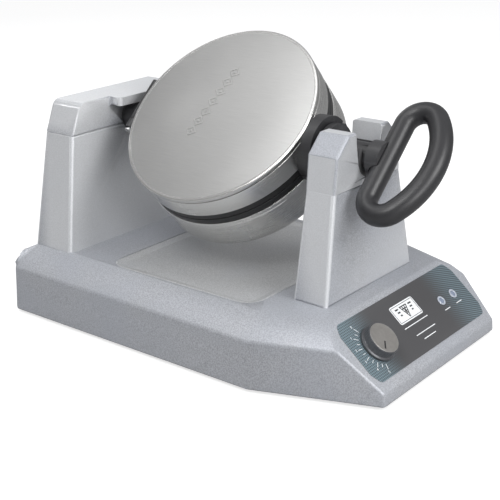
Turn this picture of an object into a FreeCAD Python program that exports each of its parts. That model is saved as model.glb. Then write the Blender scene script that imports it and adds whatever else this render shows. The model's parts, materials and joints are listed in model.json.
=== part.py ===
import FreeCAD, Part

import os

import Sketcher

# Rotary waffle cone maker.  Millimetres, +Z up, front (knob and D handle) towards -Y.
# The origin is on the bench under the middle of the base.  The cooking drum turns about a
# level axis parallel to Y; the drum is drawn closed and leaning towards -X.

SIZES = {
    # base casting
    "base_length": 480, "base_width": 326, "front_width": 228, "nose_length": 131,
    "rear_corner": 5, "foot_height": 3, "wall_height": 55, "crease_height": 66,
    "deck_height": 74, "wall_draft": 3, "crease_inset": 15, "deck_inset": 34, "rear_inset": 5,
    "casting_wall": 4, "deck_thickness": 8, "lip_height": 16.5, "panel_run": 68,
    # tray in the deck between the posts
    "tray_half_width": 122, "tray_front": -86, "tray_rear": 120, "tray_depth": 4,
    "tray_corner": 22, "tray_gap": 0.6, "tray_sheet": 1.4,
    # cover, feet and what is inside
    "cover_thickness": 2, "cover_gap": 0.8, "foot_radius": 13, "foot_inset": 30,
    "screw_radius": 2, "bolt_radius": 3, "bolt_clearance": 0.3,
    "board_length": 90, "board_width": 56, "standoff_height": 14, "inlet_radius": 9,
    # drum
    "axis_height": 212, "drum_tilt": 42, "drum_radius": 115, "drum_y": 32,
    "lid_depth": 38, "shell_depth": 54, "band_half": 8.5, "split_half": 0.5,
    "skin": 1.5, "shell_round": 8, "rim_height": 5, "rim_groove": 0.9,
    "plate_radius": 102, "plate_thickness": 11, "batter_depth": 1.5, "element_radius": 74,
    "element_wire": 4, "pillar_radius": 5, "pillar_circle": 58, "reflector_gap": 12,
    # rear post
    "rear_post_y": 190, "rear_post_depth": 44, "rear_foot_reach": 14, "rear_foot_half": 127,
    "rear_seam_half": 99, "rear_seam_height": "=axis_height - 8", "rear_top_half": 82,
    "rear_top_height": "=axis_height + 28", "post_wall": 5,
    "hood_reach": 17, "hood_half": 36, "hood_height": 10,
    # front post
    "front_post_y": -108, "front_foot_depth": 42, "front_top_depth": 36,
    "front_foot_half": 83, "front_seam_half": 62, "front_seam_height": "=axis_height - 26",
    "front_shoulder_half": 58, "front_shoulder_height": "=axis_height + 11", "front_arm_half": 38,
    "front_top_height": "=axis_height + 30",
    # bearings
    "trunnion_radius": 14, "wire_bore": 7, "bush_wall": 4, "rear_bush_length": 30,
    "journal_radius": 15, "liner_wall": 5, "running_gap": 0.05, "rear_collar_radius": 17,
    "rear_collar_length": 14, "front_collar_radius": 36, "front_collar_length": 12,
    "front_step_radius": 29, "front_step_length": 8.5, "lift_gap": 2,
    "plunger_radius": 4,
    # lid hinge
    "hinge_standoff": 8, "hinge_height": 24, "knuckle_radius": 6, "hinge_pin_radius": 3,
    "knuckle_half": 22, "hinge_side": 11, "side_gap": 0.5,
    # D handle
    "handle_y": -165, "handle_bar_half": 44, "handle_depth": 54, "handle_end_radius": 19,
    "grip_radius": 12, "hub_radius": 19,
    # control panel
    "overlay_half": 111, "overlay_low": 12, "overlay_high": 83, "overlay_corner": 6,
    "overlay_sheet": 0.8, "knob_x": -74.5, "knob_up": 46, "lamps_up": 48.5, "knob_radius": 18,
    "knob_height": 12, "knob_gap": 0.8, "knob_bore": 7, "shaft_radius": 3, "lamp_radius": 3.4,
    "bezel_radius": 5.4, "power_lamp_x": 58, "ready_lamp_x": 83,
}

doc = FreeCAD.newDocument("WaffleConeMaker")
sheet = doc.addObject("Spreadsheet::Sheet", "Sizes")
for row, (alias, number) in enumerate(SIZES.items(), start=1):
    sheet.set("A%d" % row, alias)
    sheet.set("B%d" % row, str(number))
    sheet.setAlias("B%d" % row, alias)
doc.recompute()

V = FreeCAD.Vector
PLANES = {"XY": "XY_Plane", "XZ": "XZ_Plane", "YZ": "YZ_Plane"}
NODES = []

# Lengths used by several pieces, written once as expressions of the sheet.
NOSE_ANGLE = "atan((@base_width - @front_width) / 2 / @nose_length)"
PANEL_SLOPE = "((@deck_height - @lip_height) / @panel_run)"
PANEL_ANGLE = "atan(%s)" % PANEL_SLOPE
HINGE_Y = "(@drum_y + @drum_radius + @hinge_standoff)"
NOSE_CAVITY = "(@front_width / 2 - 2 * @casting_wall)"
POST_BOLT_LOW = "(@deck_height - @deck_thickness)"
LID_REAR = "(@drum_y + @drum_radius)"
DRUM_FRONT = "(@drum_y - @drum_radius)"
SLOT_RADIUS = "(@journal_radius + @liner_wall)"
REAR_BORE = "(@trunnion_radius + @bush_wall)"
COLLAR_Y = "(%s - @front_collar_length)" % DRUM_FRONT
STEP_Y = "(%s - @lift_gap)" % COLLAR_Y


def expr(text):
    """Turns the short form @alias into a full reference to the sheet."""
    return str(text).replace("@", "Sizes.")


def size(text):
    """Value of an expression of the sheet's aliases, as a plain number."""
    result = sheet.evalExpression(str(text).replace("@", ""))
    return float(getattr(result, "Value", result))


def bind(obj, **settings):
    """Binds properties of an object to expressions, so they follow the sheet."""
    for name, text in settings.items():
        obj.setExpression(name, expr(text))


def place(obj, x="0", y="0", z="0", axis=None, angle="0"):
    """Gives an object a Placement whose offsets and angle follow the sheet."""
    turn = FreeCAD.Rotation(axis or V(0, 0, 1), size(angle))
    obj.Placement = FreeCAD.Placement(V(size(x), size(y), size(z)), turn)
    for key, text in (("x", x), ("y", y), ("z", z)):
        if "@" in str(text):
            obj.setExpression(".Placement.Base." + key, expr(text))
    if "@" in str(angle):
        obj.setExpression(".Placement.Rotation.Angle", expr(angle))
    return obj


def on_drum(obj, y="@drum_y"):
    """Puts a piece drawn about the drum's own axes onto the tilted drum."""
    return place(obj, y=y, z="@axis_height", axis=V(0, -1, 0), angle="@drum_tilt")


def on_axle(obj):
    """Puts a piece drawn about the level axle onto the tilted drum."""
    return on_drum(obj, y="0")


def on_panel(obj):
    """Puts a piece drawn flat, up-slope along +Y, onto the sloping panel."""
    return place(obj, y="-@base_length / 2", z="@lip_height", axis=V(1, 0, 0),
                 angle=PANEL_ANGLE)


def node(obj, label):
    """Names a finished sub-part and adds it to the assembly."""
    obj.Label = label
    NODES.append(obj)
    return obj


def new_body(label):
    """Starts a PartDesign body for one sub-part."""
    body = doc.addObject("PartDesign::Body", label)
    return node(body, label)


def sketch_on(body, plane, offset="0"):
    """Sketch attached to one of the body's own origin planes, moved along its normal."""
    sketch = body.newObject("Sketcher::SketchObject", body.Name + "_sketch")
    base = [o for o in body.Origin.OriginFeatures if o.Role == PLANES[plane]][0]
    sketch.AttachmentSupport = [(base, "")]
    sketch.MapMode = "FlatFace"
    sketch.AttachmentOffset = FreeCAD.Placement(V(0, 0, size(offset)), FreeCAD.Rotation())
    if "@" in str(offset):
        sketch.setExpression(".AttachmentOffset.Base.z", expr(offset))
    return sketch


def pin(sketch, geo, point, x, y):
    """Fixes a point of a sketch at expressions of its X and Y."""
    for kind, text in (("DistanceX", x), ("DistanceY", y)):
        number = sketch.addConstraint(Sketcher.Constraint(kind, -1, 1, geo, point, size(text)))
        if "@" in str(text):
            sketch.setExpression("Constraints[%d]" % number, expr(text))


def polygon(sketch, points):
    """Closed straight-sided outline through points given as expressions."""
    flat = [V(size(x), size(y), 0) for x, y in points]
    count = len(flat)
    first = sketch.GeometryCount
    for i in range(count):
        sketch.addGeometry(Part.LineSegment(flat[i], flat[(i + 1) % count]), False)
    for i in range(count):
        after = first + (i + 1) % count
        sketch.addConstraint(Sketcher.Constraint("Coincident", first + i, 2, after, 1))
    for i, (x, y) in enumerate(points):
        pin(sketch, first + i, 1, x, y)
    return sketch


def circle(sketch, x, y, radius):
    """Circle at expressions of its centre and radius."""
    centre = V(size(x), size(y), 0)
    geo = sketch.addGeometry(Part.Circle(centre, V(0, 0, 1), size(radius)), False)
    pin(sketch, geo, 3, x, y)
    number = sketch.addConstraint(Sketcher.Constraint("Radius", geo, size(radius)))
    sketch.setExpression("Constraints[%d]" % number, expr(radius))
    return sketch


def rectangle(half_x, low_y, high_y):
    """Corner points of a rectangle centred on X."""
    return [("-" + half_x, low_y), (half_x, low_y), (half_x, high_y), ("-" + half_x, high_y)]


def box_points(x0, x1, y0, y1):
    """Corner points of any rectangle."""
    return [(x0, y0), (x1, y0), (x1, y1), (x0, y1)]


def pad(body, sketch, length, both=False, back=False):
    """Pads a sketch; both=True pads evenly to both sides."""
    feature = body.newObject("PartDesign::Pad", body.Name + "_pad")
    feature.Profile = sketch
    bind(feature, Length=length)
    feature.Midplane = both
    feature.Reversed = back
    body.Tip = feature
    doc.recompute()
    return feature


def pocket(body, sketch, length, both=False, back=False):
    """Pockets a sketch and makes sure that material really went."""
    before = body.Shape.Volume
    feature = body.newObject("PartDesign::Pocket", body.Name + "_pocket")
    feature.Profile = sketch
    bind(feature, Length=length)
    feature.Midplane = both
    feature.Reversed = back
    body.Tip = feature
    doc.recompute()
    if not feature.Shape.Volume < before - 1e-6:
        raise RuntimeError("pocket cuts nothing in " + body.Label)
    return feature


def turn(body, sketch, groove=False):
    """Revolves a sketch about its own vertical axis, as a solid or as a groove."""
    before = body.Shape.Volume if groove else 0
    kind = "PartDesign::Groove" if groove else "PartDesign::Revolution"
    feature = body.newObject(kind, body.Name + "_turn")
    feature.Profile = sketch
    feature.ReferenceAxis = (sketch, ["V_Axis"])
    feature.Angle = 360
    body.Tip = feature
    doc.recompute()
    if groove and not feature.Shape.Volume < before - 1e-6:
        raise RuntimeError("groove cuts nothing in " + body.Label)
    return feature


def round_edges(body, pick, radius):
    """Fillets the edges of the body's tip for which pick(edge) is true."""
    tip = body.Tip
    names = ["Edge%d" % i for i, e in enumerate(tip.Shape.Edges, start=1) if pick(e)]
    if not names:
        raise RuntimeError("no edge to round in " + body.Label)
    feature = body.newObject("PartDesign::Fillet", body.Name + "_round")
    feature.Base = (tip, names)
    bind(feature, Radius=radius)
    body.Tip = feature
    doc.recompute()
    if feature.Shape.Volume < 0.9 * tip.Shape.Volume:
        raise RuntimeError("rounding eats into " + body.Label)
    return feature


def loft(body, sections):
    """Ruled loft through sketches."""
    feature = body.newObject("PartDesign::AdditiveLoft", body.Name + "_loft")
    feature.Profile = sections[0]
    feature.Sections = sections[1:]
    feature.Ruled = True
    body.Tip = feature
    doc.recompute()
    return feature


def prism(label, plane, points, length, offset="0", both=False, back=False):
    """Body made of one padded outline."""
    body = new_body(label)
    pad(body, polygon(sketch_on(body, plane, offset), points), length, both, back)
    return body


def turned(label, plane, points):
    """Body made of one profile revolved about its sketch's vertical axis."""
    body = new_body(label)
    turn(body, polygon(sketch_on(body, plane), points))
    return body


def ring_profile(inner, outer, low, high):
    """Profile of a plain ring: radii along X, heights along Y."""
    return [(inner, low), (outer, low), (outer, high), (inner, high)]


def rise(edge):
    """Share of an edge's run, end to end, that goes along Z."""
    if len(edge.Vertexes) != 2:
        return 0
    run = edge.Vertexes[1].Point - edge.Vertexes[0].Point
    return abs(run.z) / run.Length


def is_upright(edge):
    """True for an edge that runs parallel to Z."""
    return rise(edge) > 0.999


def circle_at(radius, height):
    """Test for a full circular edge of a radius at a height, about the body's own Z."""
    def pick(edge):
        if edge.Curve.TypeId != "Part::GeomCircle":
            return False
        near = abs(edge.Curve.Radius - size(radius)) < 0.01
        return near and abs(edge.Curve.Center.z - size(height)) < 0.01
    return pick


def cylinder(name, radius, height, x="0", y="0", z="0", axis=None, angle="0"):
    """Part cylinder bound to the sheet; a helper for booleans."""
    part = doc.addObject("Part::Cylinder", name)
    bind(part, Radius=radius, Height=height)
    return place(part, x, y, z, axis, angle)


def block(name, length, width, height, x="0", y="0", z="0"):
    """Part box bound to the sheet; a helper for booleans."""
    part = doc.addObject("Part::Box", name)
    bind(part, Length=length, Width=width, Height=height)
    return place(part, x, y, z)


def fuse(name, *parts):
    """Boolean union of document objects."""
    result = doc.addObject("Part::MultiFuse", name)
    result.Shapes = list(parts)
    result.Refine = True
    return result


def cut(name, base, tool):
    """Boolean difference of two document objects."""
    result = doc.addObject("Part::Cut", name)
    result.Base = base
    result.Tool = tool
    result.Refine = True
    return result


def repeated(label, shape, places):
    """Several equal solids in one node, such as a set of screws."""
    copies = []
    for spot in places:
        copy = shape.copy()
        copy.translate(V(*spot))
        copies.append(copy)
    feature = doc.addObject("Part::Feature", label)
    feature.Shape = Part.makeCompound(copies)
    return node(feature, label)


def screw_shape(head_radius, head_height, shank_radius, shank_length):
    """Cheese-head screw standing on its head, shank up, with a hexagon socket."""
    head = Part.makeCylinder(head_radius, head_height)
    shank = Part.makeCylinder(shank_radius, shank_length, V(0, 0, head_height))
    socket = Part.Wire(Part.makePolygon(hexagon(head_radius * 0.5)))
    hollow = Part.Face(socket).extrude(V(0, 0, head_height * 0.55))
    return head.fuse(shank).cut(hollow).removeSplitter()


def hexagon(radius):
    """Closed list of a hexagon's corners in the XY plane."""
    step = FreeCAD.Rotation(V(0, 0, 1), 60)
    corners = [V(radius, 0, 0)]
    for _ in range(6):
        corners.append(step.multVec(corners[-1]))
    return corners


# ---------------------------------------------------------------- base casting

def plan(inset, rear_inset):
    """Plan outline of the base, moved inwards: straight sides and a tapering nose."""
    side = "(@base_width / 2 - %s)" % inset
    rear = "(@base_length / 2 - %s)" % rear_inset
    corner = "(@base_width / 2 - @rear_corner - %s * 0.414)" % inset
    rear_side = "(%s - @rear_corner)" % rear
    nose_side = "(@nose_length - @base_length / 2 + %s * tan(%s / 2))" % (inset, NOSE_ANGLE)
    nose_half = "(@front_width / 2 - %s * tan(45deg - %s / 2))" % (inset, NOSE_ANGLE)
    front = "(%s - @base_length / 2)" % inset
    right = [(nose_half, front), (side, nose_side), (side, rear_side), (corner, rear)]
    left = [("-" + x, y) for x, y in reversed(right)]
    return right + left


def nose_y():
    """Y at which the straight sides end and the nose begins to taper."""
    return "(@nose_length - @base_length / 2)"


def cavity(inset, front):
    """Plan of the hollow under the deck: wide behind the nose, narrow inside it."""
    side = "(@base_width / 2 - %s)" % inset
    rear = "(@base_length / 2 - @rear_inset - @casting_wall)"
    rear_side = "(%s - @rear_corner)" % rear
    corner = "(%s - @rear_corner)" % side
    right = [(NOSE_CAVITY, front), (NOSE_CAVITY, nose_y()), (side, nose_y()),
             (side, rear_side), (corner, rear)]
    if front == nose_y():
        right = right[2:]
    return right + [("-" + x, y) for x, y in reversed(right)]


def make_base_casting():
    """Cast base: a shell, open below, with a bevelled deck and a sloping control panel."""
    body = new_body("base_casting")
    levels = [("@foot_height", "0", "0"), ("@wall_height", "@wall_draft", "(@wall_draft / 2)"),
              ("@crease_height", "@crease_inset", "(@rear_inset * 0.4)"),
              ("@deck_height", "@deck_inset", "@rear_inset")]
    loft(body, [polygon(sketch_on(body, "XY", height), plan(inset, rear))
                for height, inset, rear in levels])

    front = "(-@base_length / 2)"
    panel_top = "(@panel_run - @base_length / 2)"
    above = "(@deck_height + 20)"
    slope = [("(%s - 10)" % front, "(@lip_height - 10 * %s)" % PANEL_SLOPE),
             ("(%s + 20 / %s)" % (panel_top, PANEL_SLOPE), above), ("(%s - 10)" % front, above)]
    pocket(body, polygon(sketch_on(body, "YZ"), slope), "@base_width + 10", both=True)

    pocket(body, polygon(sketch_on(body, "XY"), cavity("(@casting_wall + @wall_draft)", nose_y())),
           "@wall_height - @casting_wall", back=True)
    pocket(body, polygon(sketch_on(body, "XY"), cavity("(@deck_inset + @casting_wall)", panel_top)),
           POST_BOLT_LOW, back=True)
    under = "(@casting_wall / cos(%s))" % PANEL_ANGLE
    start = "(%s + @casting_wall)" % front
    nose = [(start, "0"), (panel_top, "0"), (panel_top, "(@deck_height - %s)" % under),
            (start, "(@lip_height + @casting_wall * %s - %s)" % (PANEL_SLOPE, under))]
    pocket(body, polygon(sketch_on(body, "YZ"), nose), "2 * %s" % NOSE_CAVITY, both=True)

    tray = rectangle("@tray_half_width", "@tray_front", "@tray_rear")
    pocket(body, polygon(sketch_on(body, "XY", "@deck_height"), tray), "@tray_depth")
    corner_low = size("@deck_height") - size("@tray_depth") / 2
    half = size("@tray_half_width")

    def tray_corner(edge):
        middle = edge.BoundBox.Center
        return is_upright(edge) and abs(abs(middle.x) - half) < 0.1 and \
            abs(middle.z - corner_low) < 0.1
    round_edges(body, tray_corner, "@tray_corner")

    holes = sketch_on(body, "XY")
    for x, y in post_bolt_points():
        circle(holes, x, y, "@bolt_radius + @bolt_clearance")
    pocket(body, holes, "@deck_height + 1", back=True)
    inlet = sketch_on(body, "XZ", "-@base_length / 2")
    circle(inlet, "(-@base_width / 4)", "(@wall_height / 2)", "@inlet_radius")
    pocket(body, inlet, "@casting_wall * 6", both=True)
    drill_panel(body)
    return body


def post_bolt_points():
    """Centres of the bolts that hold the two posts, as expressions."""
    rear_x = "(@rear_foot_half - 12)"
    front_x = "(@front_foot_half - 10)"
    rear_mid = "(@rear_post_y + @rear_post_depth / 2)"
    front_mid = "(@front_post_y - @front_foot_depth / 2)"
    points = []
    for sign in ("-", ""):
        points.append((sign + rear_x, "(%s - 10)" % rear_mid))
        points.append((sign + rear_x, "(%s + 8)" % rear_mid))
        points.append((sign + front_x, front_mid))
    return points


def panel_plane_sketch(body):
    """Sketch on the sloping panel's plane; X across, Y up the slope from the lip."""
    sketch = sketch_on(body, "XY")
    turn_up = FreeCAD.Rotation(V(1, 0, 0), size(PANEL_ANGLE))
    middle = V(0, -size("@base_length") / 2, size("@lip_height"))
    sketch.AttachmentOffset = FreeCAD.Placement(middle, turn_up)
    sketch.setExpression(".AttachmentOffset.Base.y", expr("-@base_length / 2"))
    sketch.setExpression(".AttachmentOffset.Base.z", expr("@lip_height"))
    sketch.setExpression(".AttachmentOffset.Rotation.Angle", expr(PANEL_ANGLE))
    return sketch


def drill_panel(body):
    """Holes through the sloping panel for the knob's shaft and the two lamps."""
    sketch = panel_plane_sketch(body)
    circle(sketch, "@knob_x", "@knob_up", "@shaft_radius * 2")
    for lamp in ("@power_lamp_x", "@ready_lamp_x"):
        circle(sketch, lamp, "@lamps_up", "@lamp_radius")
    pocket(body, sketch, "@casting_wall * 3", both=True)


def make_cover():
    """Steel bottom cover with a row of vent slots, and the screws and feet under it."""
    gap = "(@casting_wall + @wall_draft + @cover_gap)"
    body = prism("bottom_cover", "XY", cover_outline(gap), "@cover_thickness",
                 offset="@foot_height")
    slots = sketch_on(body, "XY", "@foot_height")
    for i in range(-4, 5):
        polygon(slots, box_points("%d" % (14 * i - 3), "%d" % (14 * i + 3), "20", "90"))
    pocket(body, slots, "@cover_thickness * 2", both=True)
    return body


def cover_outline(gap):
    """Plan of the cover, inside the straight part of the casting and its nose."""
    side = "(@base_width / 2 - %s)" % gap
    rear = "(@base_length / 2 - @rear_inset - %s)" % gap
    nose = "(@nose_length - @base_length / 2 + @cover_gap)"
    front_half = "(%s - @cover_gap)" % NOSE_CAVITY
    front = "(%s - @base_length / 2)" % gap
    rear_side = "(%s - @rear_corner)" % rear
    corner = "(%s - @rear_corner)" % side
    right = [(front_half, front), (front_half, nose), (side, nose), (side, rear_side),
             (corner, rear)]
    return right + [("-" + x, y) for x, y in reversed(right)]


def foot_spots():
    """Centres of the four feet, as numbers."""
    wide = size("@base_width") / 2 - size("@foot_inset")
    rear = size("@base_length") / 2 - size("@foot_inset")
    narrow = size("@front_width") / 2 - size("@foot_inset")
    return [(-narrow, -rear), (narrow, -rear), (-wide, rear), (wide, rear)]


def make_feet():
    """Four rubber feet pressed against the cover, each with its fixing screw above."""
    height = size("@foot_height")
    radius = size("@foot_radius")
    foot = Part.makeCone(radius - 1.5, radius, height)
    repeated("rubber_feet", foot, [(x, y, 0) for x, y in foot_spots()])
    top = height + size("@cover_thickness")
    nut = Part.Face(Part.Wire(Part.makePolygon(hexagon(5)))).extrude(V(0, 0, 4))
    repeated("foot_nuts", nut, [(x, y, top) for x, y in foot_spots()])


def make_post_bolts():
    """Bolts up through the deck into the posts."""
    radius = size("@bolt_radius")
    head = 3.5
    bolt = screw_shape(radius * 1.7, head, radius, size("@deck_thickness") + 14)
    low = size(POST_BOLT_LOW) - head
    repeated("post_bolts", bolt, [(size(x), size(y), low) for x, y in post_bolt_points()])


def make_electrics():
    """Control board on standoffs, terminal block, sounder and cord inlet."""
    floor = "(@foot_height + @cover_thickness)"
    length, width = size("@board_length"), size("@board_width")
    middle = size("@base_length") / -2 + size("@nose_length") + width
    low = size(floor)
    rise = size("@standoff_height")
    spots = [(sx * (length / 2 - 6), middle + sy * (width / 2 - 6), low)
             for sx in (-1, 1) for sy in (-1, 1)]
    repeated("board_standoffs", Part.makeCylinder(3, rise), spots)
    board_z = "(%s + @standoff_height)" % floor
    board_y = "(@nose_length - @base_length / 2 + @board_width / 2)"
    node(block("control_board", "@board_length", "@board_width", "1.6",
               "(-@board_length / 2)", board_y, board_z), "control_board")
    terminal = block("terminal_block", "46", "22", "20", "(-@base_width / 4 - 23)",
                     "(@base_length / 2 - 80)", floor)
    node(terminal, "terminal_block")
    above = "(%s + 1.6)" % board_z
    node(cylinder("sounder", "8", "9", "(@board_length / 4)", "(%s + 20)" % board_y, above),
         "sounder")
    relay = block("relay", "28", "14", "20", "(-@board_length / 3)", "(%s + 20)" % board_y, above)
    node(relay, "relay")
    radius = "@inlet_radius"
    body = turned("cord_inlet", "XY", [
        ("@inlet_radius / 2", "(@base_length / 2 - 26)"), (radius, "(@base_length / 2 - 26)"),
        (radius, "(@base_length / 2 - 0.5)"), ("@inlet_radius / 2", "(@base_length / 2 - 0.5)")])
    place(body, x="(-@base_width / 4)", z="(@wall_height / 2)")


def make_tray():
    """Lift-out drip tray in the deck between the posts."""
    half = "(@tray_half_width - @tray_gap)"
    outline = rectangle(half, "(@tray_front + @tray_gap)", "(@tray_rear - @tray_gap)")
    floor = "(@deck_height - @tray_depth)"
    body = prism("drip_tray", "XY", outline, "@tray_depth", offset=floor)
    round_edges(body, is_upright, "@tray_corner - @tray_gap")
    inner = rectangle("(@tray_half_width - 7)", "(@tray_front + 7)", "(@tray_rear - 7)")
    rim = sketch_on(body, "XY", "@deck_height")
    pocket(body, polygon(rim, inner), "@tray_depth - @tray_sheet")
    limit = size("@tray_half_width") - 6.5
    round_edges(body, lambda e: is_upright(e) and abs(e.BoundBox.Center.x) < limit,
                "@tray_corner - 7")


# ---------------------------------------------------------------- posts

def trapezium(low_half, low, high_half, high):
    """Front-view outline of a tapered post between two heights."""
    return [("-" + low_half, low), (low_half, low), (high_half, high), ("-" + high_half, high)]


def lean_front(body, top_y, foot_y, seam, width):
    """Cuts a post's front face so that it leans from its foot back to its seam."""
    lean = "((%s - %s) / (%s - @deck_height))" % (top_y, foot_y, seam)
    wedge = [("(%s - 5 * %s)" % (foot_y, lean), "(@deck_height - 5)"),
             ("(%s + 5 * %s)" % (top_y, lean), "(%s + 5)" % seam),
             ("(%s - 5)" % foot_y, "(%s + 5)" % seam), ("(%s - 5)" % foot_y, "(@deck_height - 5)")]
    pocket(body, polygon(sketch_on(body, "YZ"), wedge), width, both=True)


def make_rear_post():
    """Tapered hollow tower that carries the rear bearing."""
    body = new_body("rear_post")
    outline = trapezium("@rear_foot_half", "@deck_height", "@rear_seam_half", "@rear_seam_height")
    start = sketch_on(body, "XZ", "@rear_foot_reach - @rear_post_y")
    pad(body, polygon(start, outline), "@rear_post_depth + @rear_foot_reach", back=True)
    lean_front(body, "@rear_post_y", "(@rear_post_y - @rear_foot_reach)", "@rear_seam_height",
               "@rear_foot_half * 3")
    hollow = trapezium("(@rear_foot_half - 24)", "@deck_height", "(@rear_seam_half - 12)",
                       "(@rear_seam_height - 40)")
    inside = sketch_on(body, "XZ", "-@rear_post_y - @post_wall")
    pocket(body, polygon(inside, hollow), "@rear_post_depth - 2 * @post_wall")
    bore = circle(sketch_on(body, "XZ", "-@rear_post_y"), "0", "@axis_height", REAR_BORE)
    pocket(body, bore, "@rear_bush_length * 2", both=True)
    drill_bolts(body, rear=True)
    round_edges(body, slanted_corner, "4")


def slanted_corner(edge):
    """True for the long leaning outer corners of a post."""
    return edge.Length > 60 and rise(edge) > 0.9 and abs(edge.BoundBox.Center.x) > 60


def drill_bolts(body, rear):
    """Blind holes in a post's foot for its bolts."""
    holes = sketch_on(body, "XY", "@deck_height")
    for x, y in post_bolt_points():
        if ("rear" in x) == rear:
            circle(holes, x, y, "@bolt_radius")
    pocket(body, holes, "15", back=True)


def make_rear_cap():
    """Cap of the rear post, with the hood that reaches over the rear collar."""
    body = new_body("rear_post_cap")
    outline = trapezium("@rear_seam_half", "@rear_seam_height", "@rear_top_half",
                        "@rear_top_height")
    pad(body, polygon(sketch_on(body, "XZ", "-@rear_post_y"), outline), "@rear_post_depth", back=True)
    top = size("@rear_top_height")

    def top_corner(edge):
        middle = edge.BoundBox.Center
        return abs(middle.z - top) < 0.1 and abs(middle.x) > 10
    round_edges(body, top_corner, "12")
    hood = rectangle("@hood_half", "(@rear_post_y - @hood_reach)", "(@rear_post_y + 6)")
    pad(body, polygon(sketch_on(body, "XY", "@rear_top_height"), hood), "@hood_height", back=True)
    front = size("@rear_post_y - @hood_reach")
    round_edges(body, lambda e: is_upright(e) and abs(e.BoundBox.Center.y - front) < 0.1, "5")
    bore = circle(sketch_on(body, "XZ", "-@rear_post_y"), "0", "@axis_height", REAR_BORE)
    pocket(body, bore, "@rear_bush_length * 2", both=True)


def make_front_post():
    """Lower part of the front post, tapered and hollow."""
    body = new_body("front_post")
    rear = "@front_post_y"
    outline = trapezium("@front_foot_half", "@deck_height", "@front_seam_half",
                        "@front_seam_height")
    pad(body, polygon(sketch_on(body, "XZ", "-" + rear), outline), "@front_foot_depth")
    lean_front(body, "(%s - @front_top_depth)" % rear, "(%s - @front_foot_depth)" % rear,
               "@front_seam_height", "@front_foot_half * 3")
    hollow = trapezium("(@front_foot_half - 20)", "@deck_height", "(@front_seam_half - 12)",
                       "(@front_seam_height - @post_wall)")
    inside = sketch_on(body, "XZ", "@post_wall - %s" % rear)
    pocket(body, polygon(inside, hollow), "@front_top_depth - 2 * @post_wall", back=True)
    hole = sketch_on(body, "XY", "@front_seam_height")
    circle(hole, "0", "(@front_post_y - @front_top_depth / 2)", "@plunger_radius * 2")
    pocket(body, hole, "@post_wall * 2")
    drill_bolts(body, rear=False)
    round_edges(body, slanted_corner, "4")


def make_front_cap():
    """Open-topped yoke on the front post; the journal lies in its slot."""
    slot_top = "(%s + 4)" % SLOT_RADIUS
    right = [("@front_seam_half", "@front_seam_height"),
             ("@front_shoulder_half", "@front_shoulder_height"),
             ("@front_arm_half", "@front_top_height"), (slot_top, "@front_top_height"),
             (SLOT_RADIUS, "@axis_height")]
    left = [("-" + x, z) for x, z in reversed(right)]
    body = new_body("front_post_cap")
    sketch = polygon(sketch_on(body, "XZ", "-@front_post_y"), right + left)
    pad(body, sketch, "@front_top_depth")
    bore = circle(sketch_on(body, "XZ", "@front_top_depth / 2 - @front_post_y"),
                  "0", "@axis_height", SLOT_RADIUS)
    pocket(body, bore, "@front_top_depth * 2", both=True)
    hole = sketch_on(body, "XY", "@front_seam_height")
    circle(hole, "0", "(@front_post_y - @front_top_depth / 2)", "@plunger_radius + 0.1")
    pocket(body, hole, "%s" % SLOT_RADIUS, both=True)

    def arm_edge(edge):
        middle = edge.BoundBox.Center
        outside = abs(middle.x) > size(SLOT_RADIUS) + 6
        return outside and middle.z > size("@front_seam_height") + 1
    round_edges(body, arm_edge, "3")


def make_saddle_liner():
    """Plastic liner in the yoke's slot; the journal runs in it."""
    depth = "(@front_top_depth + 2)"
    start = "(@front_post_y + 1)"
    lying = dict(axis=V(1, 0, 0), angle="90")
    arm_height = "(@journal_radius - 2)"
    outer = cylinder("liner_outer", SLOT_RADIUS, depth, "0", start, "@axis_height", **lying)
    crown = block("liner_crown", "2 * %s" % SLOT_RADIUS, depth, SLOT_RADIUS,
                  "-" + SLOT_RADIUS, "(%s - %s)" % (start, depth), "(@axis_height + %s)" % arm_height)
    inner_radius = "(@journal_radius + @running_gap)"
    inner = cylinder("liner_inner", inner_radius, "%s + 2" % depth, "0", "(%s + 1)" % start,
                     "@axis_height", **lying)
    mouth = block("liner_mouth", "2 * %s" % inner_radius, "%s + 2" % depth, "2 * %s" % SLOT_RADIUS,
                  "-" + inner_radius, "(%s - %s - 1)" % (start, depth), "@axis_height")
    pin_hole = cylinder("liner_pin_hole", "(@plunger_radius + 0.1)", SLOT_RADIUS, "0",
                        "(@front_post_y - @front_top_depth / 2)", "(@axis_height - %s - 1)" % SLOT_RADIUS)
    tools = fuse("liner_tools", inner, mouth, pin_hole, crown)
    node(cut("front_saddle_liner", outer, tools), "front_saddle_liner")


def make_rear_bush():
    """Bearing bush between the rear post and its cap."""
    inner = "(@trunnion_radius + @running_gap)"
    body = turned("rear_bush", "XY", ring_profile(
        inner, REAR_BORE, "@rear_post_y", "(@rear_post_y + @rear_bush_length)"))
    place(body, z="@axis_height")


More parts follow.
